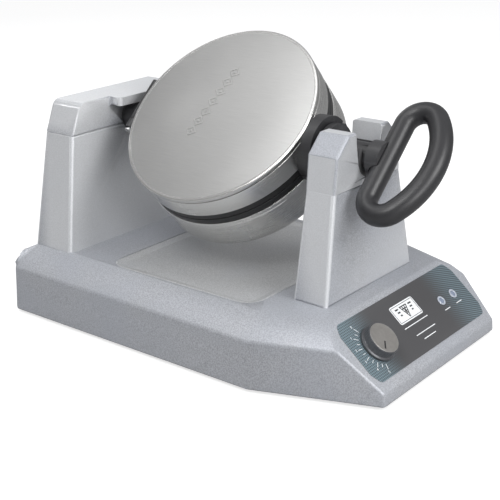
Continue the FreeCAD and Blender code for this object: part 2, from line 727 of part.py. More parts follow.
def make_plunger():
    """Spring plunger under the journal: its drag holds the drum at any angle."""
    spot_y = "(@front_post_y - @front_top_depth / 2)"
    top = "(@axis_height - @journal_radius - 0.1)"
    seat = "(@front_seam_height - @post_wall)"
    collar = "(%s - 12)" % seat
    body = turned("plunger", "XZ", [
        ("0", "%s - 4" % collar), ("@plunger_radius + 1.5", "%s - 4" % collar),
        ("@plunger_radius + 1.5", collar), ("@plunger_radius", collar),
        ("@plunger_radius", top), ("0", top)])
    place(body, y=spot_y)
    sleeve = turned("plunger_sleeve", "XZ", ring_profile(
        "(@plunger_radius * 2 - 2)", "(@plunger_radius * 2)", "(%s - 34)" % seat,
        "@front_seam_height"))
    place(sleeve, y=spot_y)
    base = turned("plunger_base", "XZ", ring_profile(
        "0", "(@plunger_radius * 2)", "(%s - 38)" % seat, "(%s - 34)" % seat))
    place(base, y=spot_y)
    coil_low, coil_high = size("%s - 34" % seat), size("%s - 4" % collar)
    wire = 0.6
    helix = Part.makeHelix((coil_high - coil_low - 2 * wire) / 6, coil_high - coil_low - 2 * wire,
                           size("@plunger_radius") - wire)
    start = helix.Edges[0].valueAt(helix.Edges[0].FirstParameter)
    profile = Part.Wire(Part.makeCircle(wire, start, V(0, 1, 0.25)))
    coil = Part.Wire(helix).makePipeShell([profile], True, True)
    feature = doc.addObject("Part::Feature", "plunger_spring")
    feature.Shape = coil
    node(place(feature, y=spot_y, z="(%s - 34 + %s)" % (seat, wire)), "plunger_spring")


# ---------------------------------------------------------------- drum, lower half

def make_shells():
    """Lower pan of the drum, the lid's side and its top with a rolled rim."""
    radius, inner = "@drum_radius", "(@drum_radius - @skin)"
    low = "(-@shell_depth)"
    body = turned("lower_shell", "XZ", [
        ("0", low), (radius, low), (radius, "(-@band_half)"), (inner, "(-@band_half)"),
        (inner, "(@skin - @shell_depth)"), ("0", "(@skin - @shell_depth)")])
    round_edges(body, circle_at(radius, low), "@shell_round")
    round_edges(body, circle_at(inner, "@skin - @shell_depth"), "@shell_round - @skin")
    holes = sketch_on(body, "XY", low)
    for k in range(3):
        x, y = pillar_spot(k)
        circle(holes, x, y, "@screw_radius")
    pocket(body, holes, "@skin * 4", both=True)
    on_drum(body)
    groove = "(@lid_depth - @rim_height - @rim_groove)"
    side = turned("lid_side", "XZ", ring_profile(inner, radius, "@band_half", groove))
    on_drum(side)
    rim_low = "(@lid_depth - @rim_height)"
    top = turned("lid_top", "XZ", [
        ("0", "(@lid_depth - @skin)"), ("(@drum_radius - 4)", "(@lid_depth - @skin)"),
        ("(@drum_radius - 4)", groove), ("(%s)" % inner, groove), (inner, rim_low),
        (radius, rim_low), (radius, "@lid_depth"), ("0", "@lid_depth")])
    round_edges(top, circle_at(radius, "@lid_depth"), "@rim_height / 2 - 0.1")
    on_drum(top)


def make_band(label, low, high):
    """Black heat-proof band around one half of the drum."""
    inner = "(@drum_radius - 6)"
    on_drum(turned(label, "XZ", ring_profile(inner, "(@drum_radius - 0.6)", low, high)))


def make_plate(label, facing, back, batter):
    """Cast cooking plate; the batter space is a shallow round recess in its face."""
    rim = "(@plate_radius - 4)"
    on_drum(turned(label, "XZ", [
        ("0", back), ("@plate_radius", back), ("@plate_radius", facing), (rim, facing),
        (rim, batter), ("0", batter)]))


def make_element(label, height):
    """Ring-shaped heating element against the back of a plate."""
    ring = doc.addObject("Part::Torus", label + "_ring")
    bind(ring, Radius1="@element_radius", Radius2="@element_wire")
    place(ring, z=height)
    terminal = cylinder(label + "_terminal", "@element_wire", "@element_wire * 2",
                        "@element_radius", "0", "(%s - @element_wire)" % height)
    node(on_drum(fuse(label + "_whole", ring, terminal)), label)


def make_reflector(label, low, high, wall_low, wall_high):
    """Pan that keeps the heat on the plate side, with holes for the pillars."""
    outer = "(@plate_radius + 4)"
    points = [("0", low), (outer, low), (outer, high), ("0", high)]
    body = turned(label, "XZ", points)
    lip = sketch_on(body, "XZ")
    polygon(lip, ring_profile("(%s - 1.2)" % outer, outer, wall_low, wall_high))
    turn(body, lip)
    holes = sketch_on(body, "XY", low)
    for k in range(3):
        x, y = pillar_spot(k)
        circle(holes, x, y, "@pillar_radius + 0.4")
    pocket(body, holes, "20", both=True)
    on_drum(body)


def pillar_spot(k):
    """Centre of pillar k of three, as expressions in the drum's own axes."""
    angle = 30 + 120 * k
    return ("(@pillar_circle * cos(%ddeg))" % angle, "(@pillar_circle * sin(%ddeg))" % angle)


def make_pillars(label, low, high):
    """Three pillars that carry a plate from the skin behind it."""
    height = size(high) - size(low)
    pillar = Part.makeCylinder(size("@pillar_radius"), height)
    spots = [(size(x), size(y), size(low)) for x, y in map(pillar_spot, range(3))]
    on_drum(repeated(label, pillar, spots))


def make_lower_half():
    """Cooking plate, element, reflector, pillars and screws of the lower half."""
    plate_top = "(-@split_half)"
    plate_low = "(-@split_half - @plate_thickness)"
    make_band("lower_band", "(-@band_half)", "(-@split_half)")
    make_plate("lower_plate", plate_top, plate_low, "(-@split_half - @batter_depth)")
    make_element("lower_element", "(%s - @element_wire)" % plate_low)
    sheet_top = "(%s - @reflector_gap)" % plate_low
    make_reflector("lower_reflector", "(%s - 1.2)" % sheet_top, sheet_top,
                   "(%s - 1.2)" % sheet_top, plate_low)
    floor = "(@skin - @shell_depth)"
    make_pillars("lower_pillars", floor, plate_low)
    head = 2
    screw = screw_shape(4, head, size("@screw_radius"), size("@skin"))
    spots = [(size(x), size(y), -size("@shell_depth") - head)
             for x, y in map(pillar_spot, range(3))]
    on_drum(repeated("lower_screws", screw, spots))


def make_upper_half():
    """Cooking plate, element, reflector and pillars of the lid."""
    plate_back = "(@split_half + @plate_thickness)"
    make_band("upper_band", "@split_half", "@band_half")
    make_plate("upper_plate", "@split_half", plate_back, "(@split_half + @batter_depth)")
    make_element("upper_element", "(%s + @element_wire)" % plate_back)
    sheet_low = "(%s + @reflector_gap)" % plate_back
    make_reflector("upper_reflector", sheet_low, "(%s + 1.2)" % sheet_low, plate_back,
                   "(%s + 1.2)" % sheet_low)
    make_pillars("upper_pillars", plate_back, "(@lid_depth - @skin)")


# ---------------------------------------------------------------- axle, hinge and handle

def drum_tool(name, extra="0"):
    """Cylinder of the drum's outside, to shape what is fastened to it."""
    return cylinder(name, "@drum_radius + %s" % extra, "200", "0", "@drum_y", "-100")


def make_rear_axle():
    """Carrier block behind the lower half, hollow trunnion and black collar."""
    reach = "(%s + 18)" % LID_REAR
    carrier = block("carrier_block", "2 * (@knuckle_half)", "60", "(@shell_depth - 12)",
                    "-@knuckle_half", "(%s - 60)" % reach, "(8 - @shell_depth + 12)")
    node(on_axle_cut("rear_carrier", carrier, "rear_carrier_tool"), "rear_carrier")
    back = "(@rear_post_y + @rear_bush_length - 1)"
    axle = turned("rear_trunnion", "XY", ring_profile("@wire_bore", "@trunnion_radius", reach, back))
    on_axle(axle)
    collar_rear = "(@rear_post_y - 2.5)"
    collar = turned("rear_collar", "XY", ring_profile(
        "@trunnion_radius", "@rear_collar_radius", "(%s - @rear_collar_length)" % collar_rear,
        collar_rear))
    on_axle(collar)


def on_axle_cut(name, solid, tool_name):
    """Cuts the drum's cylinder out of a piece and puts it on the tilted drum."""
    return on_axle(cut(name, solid, drum_tool(tool_name)))


def make_front_collar(label, low, height, length):
    """Half of the split front collar: one half on the drum, the other lifts with the lid."""
    disc = cylinder(label + "_disc", "@front_collar_radius", "60", "0",
                    "(%s + 60 - %s)" % (DRUM_FRONT, length), "0", V(1, 0, 0), "90")
    half = block(label + "_half", "4 * @front_collar_radius", "200", height,
                 "-2 * @front_collar_radius", "-200", low)
    common = doc.addObject("Part::Common", label + "_common")
    common.Base, common.Tool = disc, half
    node(on_axle_cut(label, common, label + "_tool"), label)


def make_front_axle():
    """Split collar, journal with its step, and the hub behind the handle's bar."""
    deep = "2 * @front_collar_radius"
    make_front_collar("lower_front_collar", "(-@split_half - %s)" % deep, deep,
                      "(@front_collar_length + @lift_gap)")
    make_front_collar("lid_lift_collar", "@split_half", deep, "@front_collar_length")
    journal_end = "(@handle_y + @grip_radius + 3)"
    step_end = "(%s - @front_step_length)" % STEP_Y
    axle = turned("front_journal", "XY", [
        ("0", journal_end), ("@journal_radius", journal_end), ("@journal_radius", step_end),
        ("@front_step_radius", step_end), ("@front_step_radius", STEP_Y), ("0", STEP_Y)])
    on_axle(axle)
    bar = cylinder("hub_bar_tool", "@grip_radius", "100", "-50", "@handle_y", "0", V(0, 1, 0), "90")
    disc = cylinder("hub_disc", "@hub_radius", "(%s - @handle_y)" % journal_end, "0",
                    journal_end, "0", V(1, 0, 0), "90")
    hub = cut("handle_hub", disc, bar)
    node(on_axle(hub), "handle_hub")


def make_handle():
    """D handle: a straight bar on the hub, two end bends and a bowed grip in one tube."""
    half, depth = size("@handle_bar_half"), size("@handle_depth")
    end = size("@handle_end_radius")
    bow = (half ** 2 / (depth - 2 * end) + depth) / 2
    bar_y = size("@handle_y")
    bow_centre = V(0, bar_y - depth + bow, 0)
    end_centre = V(half, bar_y - end, 0)
    outward = (end_centre - bow_centre).normalize()
    join = bow_centre + outward * bow
    bend_middle = end_centre + (outward + V(0, 1, 0) + V(1, 0, 0)).normalize() * end

    def mirrored(point):
        return V(-point.x, point.y, 0)

    start = V(half, bar_y, 0)
    edges = [
        Part.LineSegment(mirrored(start), start).toShape(),
        Part.Arc(start, bend_middle, join).toShape(),
        Part.Arc(join, V(0, bar_y - depth, 0), mirrored(join)).toShape(),
        Part.Arc(mirrored(join), mirrored(bend_middle), mirrored(start)).toShape(),
    ]
    path = Part.Wire(edges)
    section = Part.Wire(Part.makeCircle(size("@grip_radius"), mirrored(start), V(1, 0, 0)))
    tube = path.makePipeShell([section], True, True)
    feature = doc.addObject("Part::Feature", "d_handle")
    feature.Shape = tube
    node(on_axle(feature), "d_handle")


def make_hinge():
    """Lid hinge behind the drum: lid knuckle, two side brackets and the pin."""
    lying = dict(axis=V(0, 1, 0), angle="90")
    knuckle = cylinder("lid_knuckle_barrel", "@knuckle_radius", "2 * @knuckle_half",
                       "-@knuckle_half", HINGE_Y, "@hinge_height", **lying)
    leaf = block("lid_knuckle_leaf", "2 * @knuckle_half", "30", "2 * @knuckle_radius",
                 "-@knuckle_half", "(%s - 30)" % HINGE_Y, "(@hinge_height - @knuckle_radius)")
    bore = cylinder("lid_knuckle_bore", "@hinge_pin_radius + @running_gap", "4 * @knuckle_half",
                    "-2 * @knuckle_half", HINGE_Y, "@hinge_height", **lying)
    tools = fuse("lid_knuckle_tools", bore, drum_tool("lid_knuckle_drum"))
    whole = fuse("lid_knuckle_whole", knuckle, leaf)
    node(on_axle(cut("lid_knuckle", whole, tools)), "lid_knuckle")
    for label, side in (("left_hinge_bracket", "left"), ("right_hinge_bracket", "right")):
        make_hinge_bracket(label, side, lying)
    reach = "(@knuckle_half + @side_gap + @hinge_side + 2)"
    shaft = cylinder("hinge_pin_shaft", "@hinge_pin_radius", "2 * %s" % reach, "-" + reach,
                     HINGE_Y, "@hinge_height", **lying)
    head = cylinder("hinge_pin_head", "@hinge_pin_radius + 1.5", "1.5", "(-%s - 1.5)" % reach,
                    HINGE_Y, "@hinge_height", **lying)
    node(on_axle(fuse("hinge_pin_whole", shaft, head)), "hinge_pin")


def make_hinge_bracket(label, side, lying):
    """Bracket from the lower half up to one end of the hinge pin."""
    inner = "(@knuckle_half + @side_gap)"
    start = inner if side == "right" else "(-%s - @hinge_side)" % inner
    eye = cylinder(label + "_eye", "@knuckle_radius", "@hinge_side", start, HINGE_Y,
                   "@hinge_height", **lying)
    stem_y = "(%s + 1)" % LID_REAR
    stem_depth = "(%s + @knuckle_radius - %s)" % (HINGE_Y, stem_y)
    stem = block(label + "_stem", "@hinge_side", stem_depth, "(@hinge_height + @shell_depth - 14)",
                 start, stem_y, "(14 - @shell_depth)")
    foot = block(label + "_foot", "@hinge_side", "30", "(@shell_depth - @band_half - 18)",
                 start, "(%s - 28)" % stem_y, "(14 - @shell_depth)")
    whole = fuse(label + "_whole", eye, stem, foot)
    bore = cylinder(label + "_bore", "@hinge_pin_radius", "4 * @hinge_side",
                    "(%s - @hinge_side)" % start, HINGE_Y, "@hinge_height", **lying)
    tools = fuse(label + "_tools", bore, drum_tool(label + "_drum"))
    node(on_axle(cut(label, whole, tools)), label)


# ---------------------------------------------------------------- control panel

def overlay_outline():
    """Control panel outline: wide middle, chamfered ends, symmetrical about X = 0."""
    high_half = "(@overlay_half - @overlay_corner)"
    low, high = "@overlay_low", "@overlay_high"
    right = [(high_half, low), ("@overlay_half", "(%s + @overlay_corner * 2)" % low),
             ("@overlay_half", "(%s - @overlay_corner * 2)" % high), (high_half, high)]
    return right + [("-" + x, y) for x, y in reversed(right)]


def make_panel():
    """Printed overlay, its two lamps with bezels, and the thermostat behind the knob."""
    body = prism("panel_overlay", "XY", overlay_outline(), "@overlay_sheet")
    round_edges(body, is_upright, "3")
    holes = sketch_on(body, "XY")
    circle(holes, "@knob_x", "@knob_up", "@shaft_radius * 2")
    for lamp in ("@power_lamp_x", "@ready_lamp_x"):
        circle(holes, lamp, "@lamps_up", "@lamp_radius")
    pocket(body, holes, "@overlay_sheet * 4", both=True)
    on_panel(body)
    for label, x in (("power_lamp", "@power_lamp_x"), ("ready_lamp", "@ready_lamp_x")):
        make_lamp(label, x)
    box = prism("thermostat", "XY", box_points(
        "(@knob_x - 16)", "(@knob_x + 16)", "(@knob_up - 16)", "(@knob_up + 16)"),
        "18", offset="-@casting_wall - 18")
    bore = circle(sketch_on(box, "XY", "-@casting_wall"), "@knob_x", "@knob_up",
                  "@shaft_radius + @running_gap")
    pocket(box, bore, "12")
    on_panel(box)


def make_lamp(label, x):
    """Lamp lens with a step, and a ring bezel around it."""
    lens = new_body(label)
    pad(lens, circle(sketch_on(lens, "XY", "-@casting_wall"), x, "@lamps_up",
                     "@lamp_radius"), "@casting_wall + 1.8")
    on_panel(lens)
    bezel = new_body(label.replace("lamp", "bezel"))
    ring = circle(sketch_on(bezel, "XY", "@overlay_sheet"), x, "@lamps_up", "@bezel_radius")
    circle(ring, x, "@lamps_up", "@lamp_radius")
    pad(bezel, ring, "0.8")
    on_panel(bezel)


def pointer_corners():
    """Corners of the knob's pointer, which lies towards its off stop, down and left at 45 degrees."""
    ends = (("4", "-1"), ("4", "1"), ("(@knob_radius - 4)", "1"), ("(@knob_radius - 4)", "-1"))
    return [("(@knob_x - sin(45) * (%s + %s))" % (reach, side),
             "(@knob_up - sin(45) * (%s - %s))" % (reach, side)) for reach, side in ends]


def make_knob():
    """Thermostat knob with its skirt, metal face disc, pointer line and shaft."""
    low = "(@overlay_sheet + @knob_gap)"
    top = "(%s + @knob_height)" % low
    place_x, place_y = "@knob_x", "@knob_up"
    knob = new_body("knob")
    pad(knob, circle(sketch_on(knob, "XY", low), place_x, place_y, "@knob_radius + 2"), "3")
    pad(knob, circle(sketch_on(knob, "XY", low), place_x, place_y, "@knob_radius"),
        "@knob_height")
    pocket(knob, circle(sketch_on(knob, "XY", top), place_x, place_y, "@knob_radius - 2"), "1")
    pocket(knob, circle(sketch_on(knob, "XY", low), place_x, place_y, "@shaft_radius"),
           "@knob_bore", back=True)
    on_panel(knob)
    disc = new_body("knob_face")
    pad(disc, circle(sketch_on(disc, "XY", "%s - 1" % top), place_x, place_y,
                     "@knob_radius - 2.05"), "1.2")
    mark = polygon(sketch_on(disc, "XY", "%s + 0.2" % top), pointer_corners())
    pocket(disc, mark, "0.6")
    on_panel(disc)
    line = prism("knob_pointer", "XY", pointer_corners(), "0.5", offset="%s - 0.4" % top)
    on_panel(line)
    shaft = new_body("knob_shaft")
    pad(shaft, circle(sketch_on(shaft, "XY", "-@casting_wall - 10"), place_x, place_y,
                      "@shaft_radius"), "(%s + @knob_bore + @casting_wall + 10)" % low)
    on_panel(shaft)


def write_parts():
    """Checks every object and writes one STEP file for each sub-part."""
    doc.recompute()
    for obj in doc.Objects:
        if "Invalid" in obj.State or "Error" in obj.State:
            raise RuntimeError("%s failed: %s" % (obj.Name, obj.State))
    os.makedirs("parts", exist_ok=True)
    for obj in NODES:
        if obj.Shape.isNull() or not obj.Shape.isValid() or not obj.Shape.Solids:
            raise RuntimeError("bad shape in " + obj.Label)
        obj.Shape.exportStep("parts/%s.step" % obj.Label)
    print("wrote %d parts" % len(NODES))


make_base_casting()
make_cover()
make_feet()
make_post_bolts()
make_electrics()
make_tray()
make_rear_post()
make_rear_cap()
make_front_post()
make_front_cap()
make_saddle_liner()
make_rear_bush()
make_plunger()
make_shells()
make_lower_half()
make_upper_half()
make_rear_axle()
make_front_axle()
make_handle()
make_hinge()
make_panel()
make_knob()
write_parts()
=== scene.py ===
"""Looks of a rotary waffle cone maker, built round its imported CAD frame.

Sizes in the classes are millimetres; every mesh is made in metres, in the frame's own axes:
+Z up, the control panel towards -Y, the drum leaning towards -X.
"""

import json
import logging
import math
from dataclasses import dataclass
from enum import Enum
from typing import Sequence

import bmesh
import bpy
import numpy as np
from mathutils import Matrix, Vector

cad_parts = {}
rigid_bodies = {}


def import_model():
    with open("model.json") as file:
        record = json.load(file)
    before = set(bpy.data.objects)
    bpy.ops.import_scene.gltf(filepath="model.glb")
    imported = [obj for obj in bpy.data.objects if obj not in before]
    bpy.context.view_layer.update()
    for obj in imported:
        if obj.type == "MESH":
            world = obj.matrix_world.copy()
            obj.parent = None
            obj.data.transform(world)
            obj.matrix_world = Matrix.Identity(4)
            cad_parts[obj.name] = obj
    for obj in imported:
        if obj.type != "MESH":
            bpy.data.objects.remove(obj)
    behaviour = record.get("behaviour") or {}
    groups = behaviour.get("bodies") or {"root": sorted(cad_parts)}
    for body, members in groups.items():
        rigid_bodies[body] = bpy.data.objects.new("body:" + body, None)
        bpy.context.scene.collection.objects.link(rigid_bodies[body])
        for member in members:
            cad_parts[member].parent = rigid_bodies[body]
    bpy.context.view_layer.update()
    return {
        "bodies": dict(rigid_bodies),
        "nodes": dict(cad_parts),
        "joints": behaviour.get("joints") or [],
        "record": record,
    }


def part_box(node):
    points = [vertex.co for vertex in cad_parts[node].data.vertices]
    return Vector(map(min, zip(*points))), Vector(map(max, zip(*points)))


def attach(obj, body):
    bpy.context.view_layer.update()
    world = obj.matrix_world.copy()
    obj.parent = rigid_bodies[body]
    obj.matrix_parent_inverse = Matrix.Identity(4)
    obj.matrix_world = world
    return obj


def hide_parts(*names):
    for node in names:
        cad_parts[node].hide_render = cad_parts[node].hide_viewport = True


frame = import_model()
MM = 0.001
TURN = 2 * math.pi
MERGE = 2e-6
DRUM_Y = 32.0
LIP = (0.0, -240.0, 16.5)
LOG = logging.getLogger("cone_maker")
Colour = tuple[float, float, float]


# ------------------------------------------------------------------ places and surfaces

@dataclass(frozen=True)
class Place:
    """Axes that a group of parts is drawn in: an origin in mm and three unit directions."""

    origin: tuple[float, float, float]
    across: tuple[float, float, float]
    along: tuple[float, float, float]
    out: tuple[float, float, float]

    def world(self, points: np.ndarray) -> np.ndarray:
        """Turns points drawn in mm on these axes into metres in the frame.

        Args:
            points: Array whose last axis is (across, along, out) in mm.

        Returns:
            Array of the same shape in metres.
        """
        axes = np.array([self.across, self.along, self.out])
        return (np.asarray(points) @ axes + np.array(self.origin)) * MM


def joint(name: str) -> dict:
    """Returns the frame's joint of that name."""
    return next(row for row in frame["joints"] if row["name"] == name)


def drum_place(middle_y: float) -> Place:
    """Returns the drum's leaning axes, with their origin on the axle at that y.

    Args:
        middle_y: Place of the origin along the axle, in mm.
    """
    height = joint("drum_rotation")["pos_m"][2] / MM
    pin = joint("lid_opening")["axis"]
    across = (-pin[0], 0.0, -pin[2])
    return Place((0.0, middle_y, height), across, (0.0, 1.0, 0.0), (pin[2], 0.0, -pin[0]))


def panel_place() -> Place:
    """Returns the control panel's axes: x across, y up the slope, z out of it."""
    out = joint("knob_turn")["axis"]
    return Place(LIP, (1.0, 0.0, 0.0), (0.0, out[2], -out[1]), tuple(out))


PANEL = panel_place()
AXLE = drum_place(0.0)
DRUM = drum_place(DRUM_Y)
TILT = math.atan2(AXLE.across[2], AXLE.across[0])
SLOPE = math.atan2(PANEL.along[2], PANEL.along[1])


class Mesh:
    """Surfaces gathered into one closed piece."""

    def __init__(self) -> None:
        """Starts with nothing in the piece."""
        self.points: list[np.ndarray] = []
        self.quads: list[np.ndarray] = []
        self.caps: list[list[int]] = []
        self.count = 0

    def add(self, grid: np.ndarray, round_rows: bool = False, round_columns: bool = False,
            caps: bool = False) -> None:
        """Adds a surface given by points on a grid.

        Each grid cell becomes one four-sided face. A round direction joins its last line
        of points to its first.

        Args:
            grid: Array (rows, columns, 3) in metres.
            round_rows: True where the last row meets the first.
            round_columns: True where the last column meets the first.
            caps: True to close the first and the last row with a flat face each.
        """
        rows, columns = grid.shape[:2]
        index = np.arange(rows * columns).reshape(rows, columns) + self.count
        wide = np.concatenate([index, index[:, :1]], axis=1) if round_columns else index
        full = np.concatenate([wide, wide[:1]], axis=0) if round_rows else wide
        cells = np.stack([full[:-1, :-1], full[:-1, 1:], full[1:, 1:], full[1:, :-1]], axis=-1)
        self.quads.append(cells.reshape(-1, 4))
        self.points.append(grid.reshape(-1, 3))
        if caps:
            self.caps += [index[0, ::-1].tolist(), index[-1].tolist()]
        self.count += rows * columns

    def make(self, name: str, smooth: float = 32.0) -> bpy.types.Object:
        """Makes the object: doubles merged, faces outward, soft shading under an angle.

        Args:
            name: Name of the piece.
            smooth: Angle in degrees above which an edge stays sharp.

        Returns:
            The new object, linked to the scene.
        """
        mesh = bpy.data.meshes.new(name)
        faces = np.concatenate(self.quads).tolist() + self.caps
        mesh.from_pydata(np.concatenate(self.points).tolist(), [], faces)
        tidy(mesh)
        return placed(mesh, name, smooth)


def tidy(mesh: bpy.types.Mesh) -> None:
    """Merges double points and turns the faces outward.

    Args:
        mesh: The mesh to change.
    """
    work = bmesh.new()
    work.from_mesh(mesh)
    bmesh.ops.remove_doubles(work, verts=work.verts, dist=MERGE)
    bmesh.ops.dissolve_degenerate(work, edges=work.edges, dist=MERGE / 2)
    bmesh.ops.recalc_face_normals(work, faces=work.faces)
    work.to_mesh(mesh)
    work.free()


def placed(mesh: bpy.types.Mesh, name: str, smooth: float) -> bpy.types.Object:
    """Links a mesh to the scene as an object at the origin, with soft shading.

    Args:
        mesh: The finished mesh.
        name: Name of the piece.
        smooth: Angle in degrees above which an edge stays sharp.

    Returns:
        The new object.
    """
    mesh.shade_smooth()
    mesh.set_sharp_from_angle(angle=math.radians(smooth))
    piece = bpy.data.objects.new(name, mesh)
    bpy.context.scene.collection.objects.link(piece)
    return piece


def eased(corners: Sequence[Sequence[float]], radii: Sequence[float] | float, steps: int = 6,
          closed: bool = True) -> np.ndarray:
    """Rounds the corners of a flat outline.

    Each corner becomes a parabola: (1-t)^2 start + 2t(1-t) corner + t^2 end, whose ends lie
    on the two sides at the tangent length of a circle of the corner's radius.

    Args:
        corners: Corner points, (x, y) each.
        radii: One radius for all the corners or one for each.
        steps: Points to a corner.
        closed: False for an open line, whose two end points stay.

    Returns:
        Array (points, 2).
    """
    corner = np.asarray(corners, float)
    radius = np.broadcast_to(np.asarray(radii, float), (len(corner),)).copy()
    before, after = np.roll(corner, 1, axis=0) - corner, np.roll(corner, -1, axis=0) - corner
    if not closed:
        radius[[0, -1]] = 0.0
    lengths = [np.linalg.norm(side, axis=1, keepdims=True) for side in (before, after)]
    before, after = before / lengths[0], after / lengths[1]
    half = np.arccos(np.clip((before * after).sum(axis=1), -1, 1)) / 2
    reach = radius / np.maximum(np.tan(half), 1e-3)
    reach = np.minimum(reach, 0.49 * np.minimum(lengths[0], lengths[1])[:, 0])[:, None, None]
    t = np.linspace(0, 1, steps)[None, :, None]
    start = corner[:, None] + before[:, None] * reach
    end = corner[:, None] + after[:, None] * reach
    curve = (1 - t) ** 2 * start + 2 * t * (1 - t) * corner[:, None] + t ** 2 * end
    return curve.reshape(-1, 2)


def turned(profile: np.ndarray, steps: int) -> np.ndarray:
    """Turns a profile right round the third axis.

    A point (r, h) of the profile at the angle a goes to (r cos a, r sin a, h).

    Args:
        profile: Array (points, 2) of radius and height.
        steps: Angles round the turn.

    Returns:
        Array (angles, points, 3).
    """
    angle = np.linspace(0, TURN, steps, endpoint=False)[:, None]
    radius, height = profile[None, :, 0], profile[None, :, 1]
    return np.stack([radius * np.cos(angle), radius * np.sin(angle),
                     np.broadcast_to(height, (steps, profile.shape[0]))], axis=-1)


def disc_map(cells: int) -> tuple[np.ndarray, np.ndarray]:
    """Maps a square grid onto a round one.

    The larger of |a| and |b| becomes the radius, and the ratio of the smaller to it becomes
    the angle, so squares round the middle become circles.

    Args:
        cells: Cells along a side of the square.

    Returns:
        Radius from 0 to 1 and angle, each an array (cells + 1, cells + 1).
    """
    line = np.linspace(-1, 1, cells + 1)
    a, b = np.meshgrid(line, line, indexing="ij")
    flat = np.abs(a) >= np.abs(b)
    safe_a, safe_b = np.where(np.abs(a) < 1e-9, 1e-9, a), np.where(np.abs(b) < 1e-9, 1e-9, b)
    angle = np.where(flat, math.pi / 4 * b / safe_a, math.pi / 2 - math.pi / 4 * a / safe_b)
    return np.where(flat, a, b), angle


def ramp(value: np.ndarray, low: float, high: float) -> np.ndarray:
    """Returns 0 below low, 1 above high, and the smooth step 3t^2 - 2t^3 between."""
    t = np.clip((value - low) / (high - low), 0, 1)
    return t * t * (3 - 2 * t)


def softened(node: str, name: str, width: float, angle: float = 24.0,
             shortest: float = 5.0) -> bpy.types.Object:
    """Copies a CAD node and rounds its edges.

    The copy's loose triangles are joined and its flat faces made whole. Every edge that is
    long enough and sharp enough is then cut back by the width in three steps.

    Args:
        node: Name of the CAD node.
        name: Name of the new piece.
        width: How far the rounding reaches from the edge, in mm.
        angle: Least angle between two faces at a rounded edge, in degrees.
        shortest: Least length of a rounded edge, in mm.

    Returns:
        The new object.
    """
    mesh = frame["nodes"][node].data.copy()
    mesh.name = name
    mesh.materials.clear()
    work = bmesh.new()
    work.from_mesh(mesh)
    bmesh.ops.remove_doubles(work, verts=work.verts, dist=MERGE)
    bmesh.ops.dissolve_limit(work, angle_limit=math.radians(1.0), verts=work.verts,
                             edges=work.edges)
    sharp = [edge for edge in work.edges
             if len(edge.link_faces) == 2 and edge.calc_length() > shortest * MM
             and edge.calc_face_angle(0.0) > math.radians(angle)]
    bmesh.ops.bevel(work, geom=sharp, offset=width * MM, offset_type="OFFSET", segments=3,
                    profile=0.5, affect="EDGES", clamp_overlap=False)
    bmesh.ops.triangulate(work, faces=[face for face in work.faces if len(face.verts) > 4])
    bmesh.ops.recalc_face_normals(work, faces=work.faces)
    work.to_mesh(mesh)
    work.free()
    piece = placed(mesh, name, 40.0)
    level = piece.modifiers.new("even_shading", "WEIGHTED_NORMAL")
    level.keep_sharp, level.weight = True, 80
    return piece


# ------------------------------------------------------------------ finishes

class Wire:
    """A shader socket that can be written in an expression."""

    def __init__(self, shader: "Shader", socket: bpy.types.NodeSocket) -> None:
        """Keeps the socket and the shader it belongs to."""
        self.shader, self.socket = shader, socket

    def _maths(self, operation: str, first: "Wire | float", second: "Wire | float") -> "Wire":
        """Adds one Math node and returns its result."""
        return self.shader.add("ShaderNodeMath", {"operation": operation},
                               {0: first, 1: second})

    def __add__(self, other: "Wire | float") -> "Wire":
        """Returns self + other."""
        return self._maths("ADD", self, other)

    def __radd__(self, other: float) -> "Wire":
        """Returns other + self."""
        return self._maths("ADD", other, self)

    def __sub__(self, other: "Wire | float") -> "Wire":
        """Returns self - other."""
        return self._maths("SUBTRACT", self, other)

    def __rsub__(self, other: float) -> "Wire":
        """Returns other - self."""
        return self._maths("SUBTRACT", other, self)

    def __mul__(self, other: "Wire | float") -> "Wire":
        """Returns self * other."""
        return self._maths("MULTIPLY", self, other)

    def largest(self, other: "Wire | float") -> "Wire":
        """Returns the larger of the two."""
        return self._maths("MAXIMUM", self, other)

    def folded(self, pitch: float) -> "Wire":
        """Returns the distance to the nearest multiple of the pitch."""
        return self._maths("PINGPONG", self, pitch / 2)


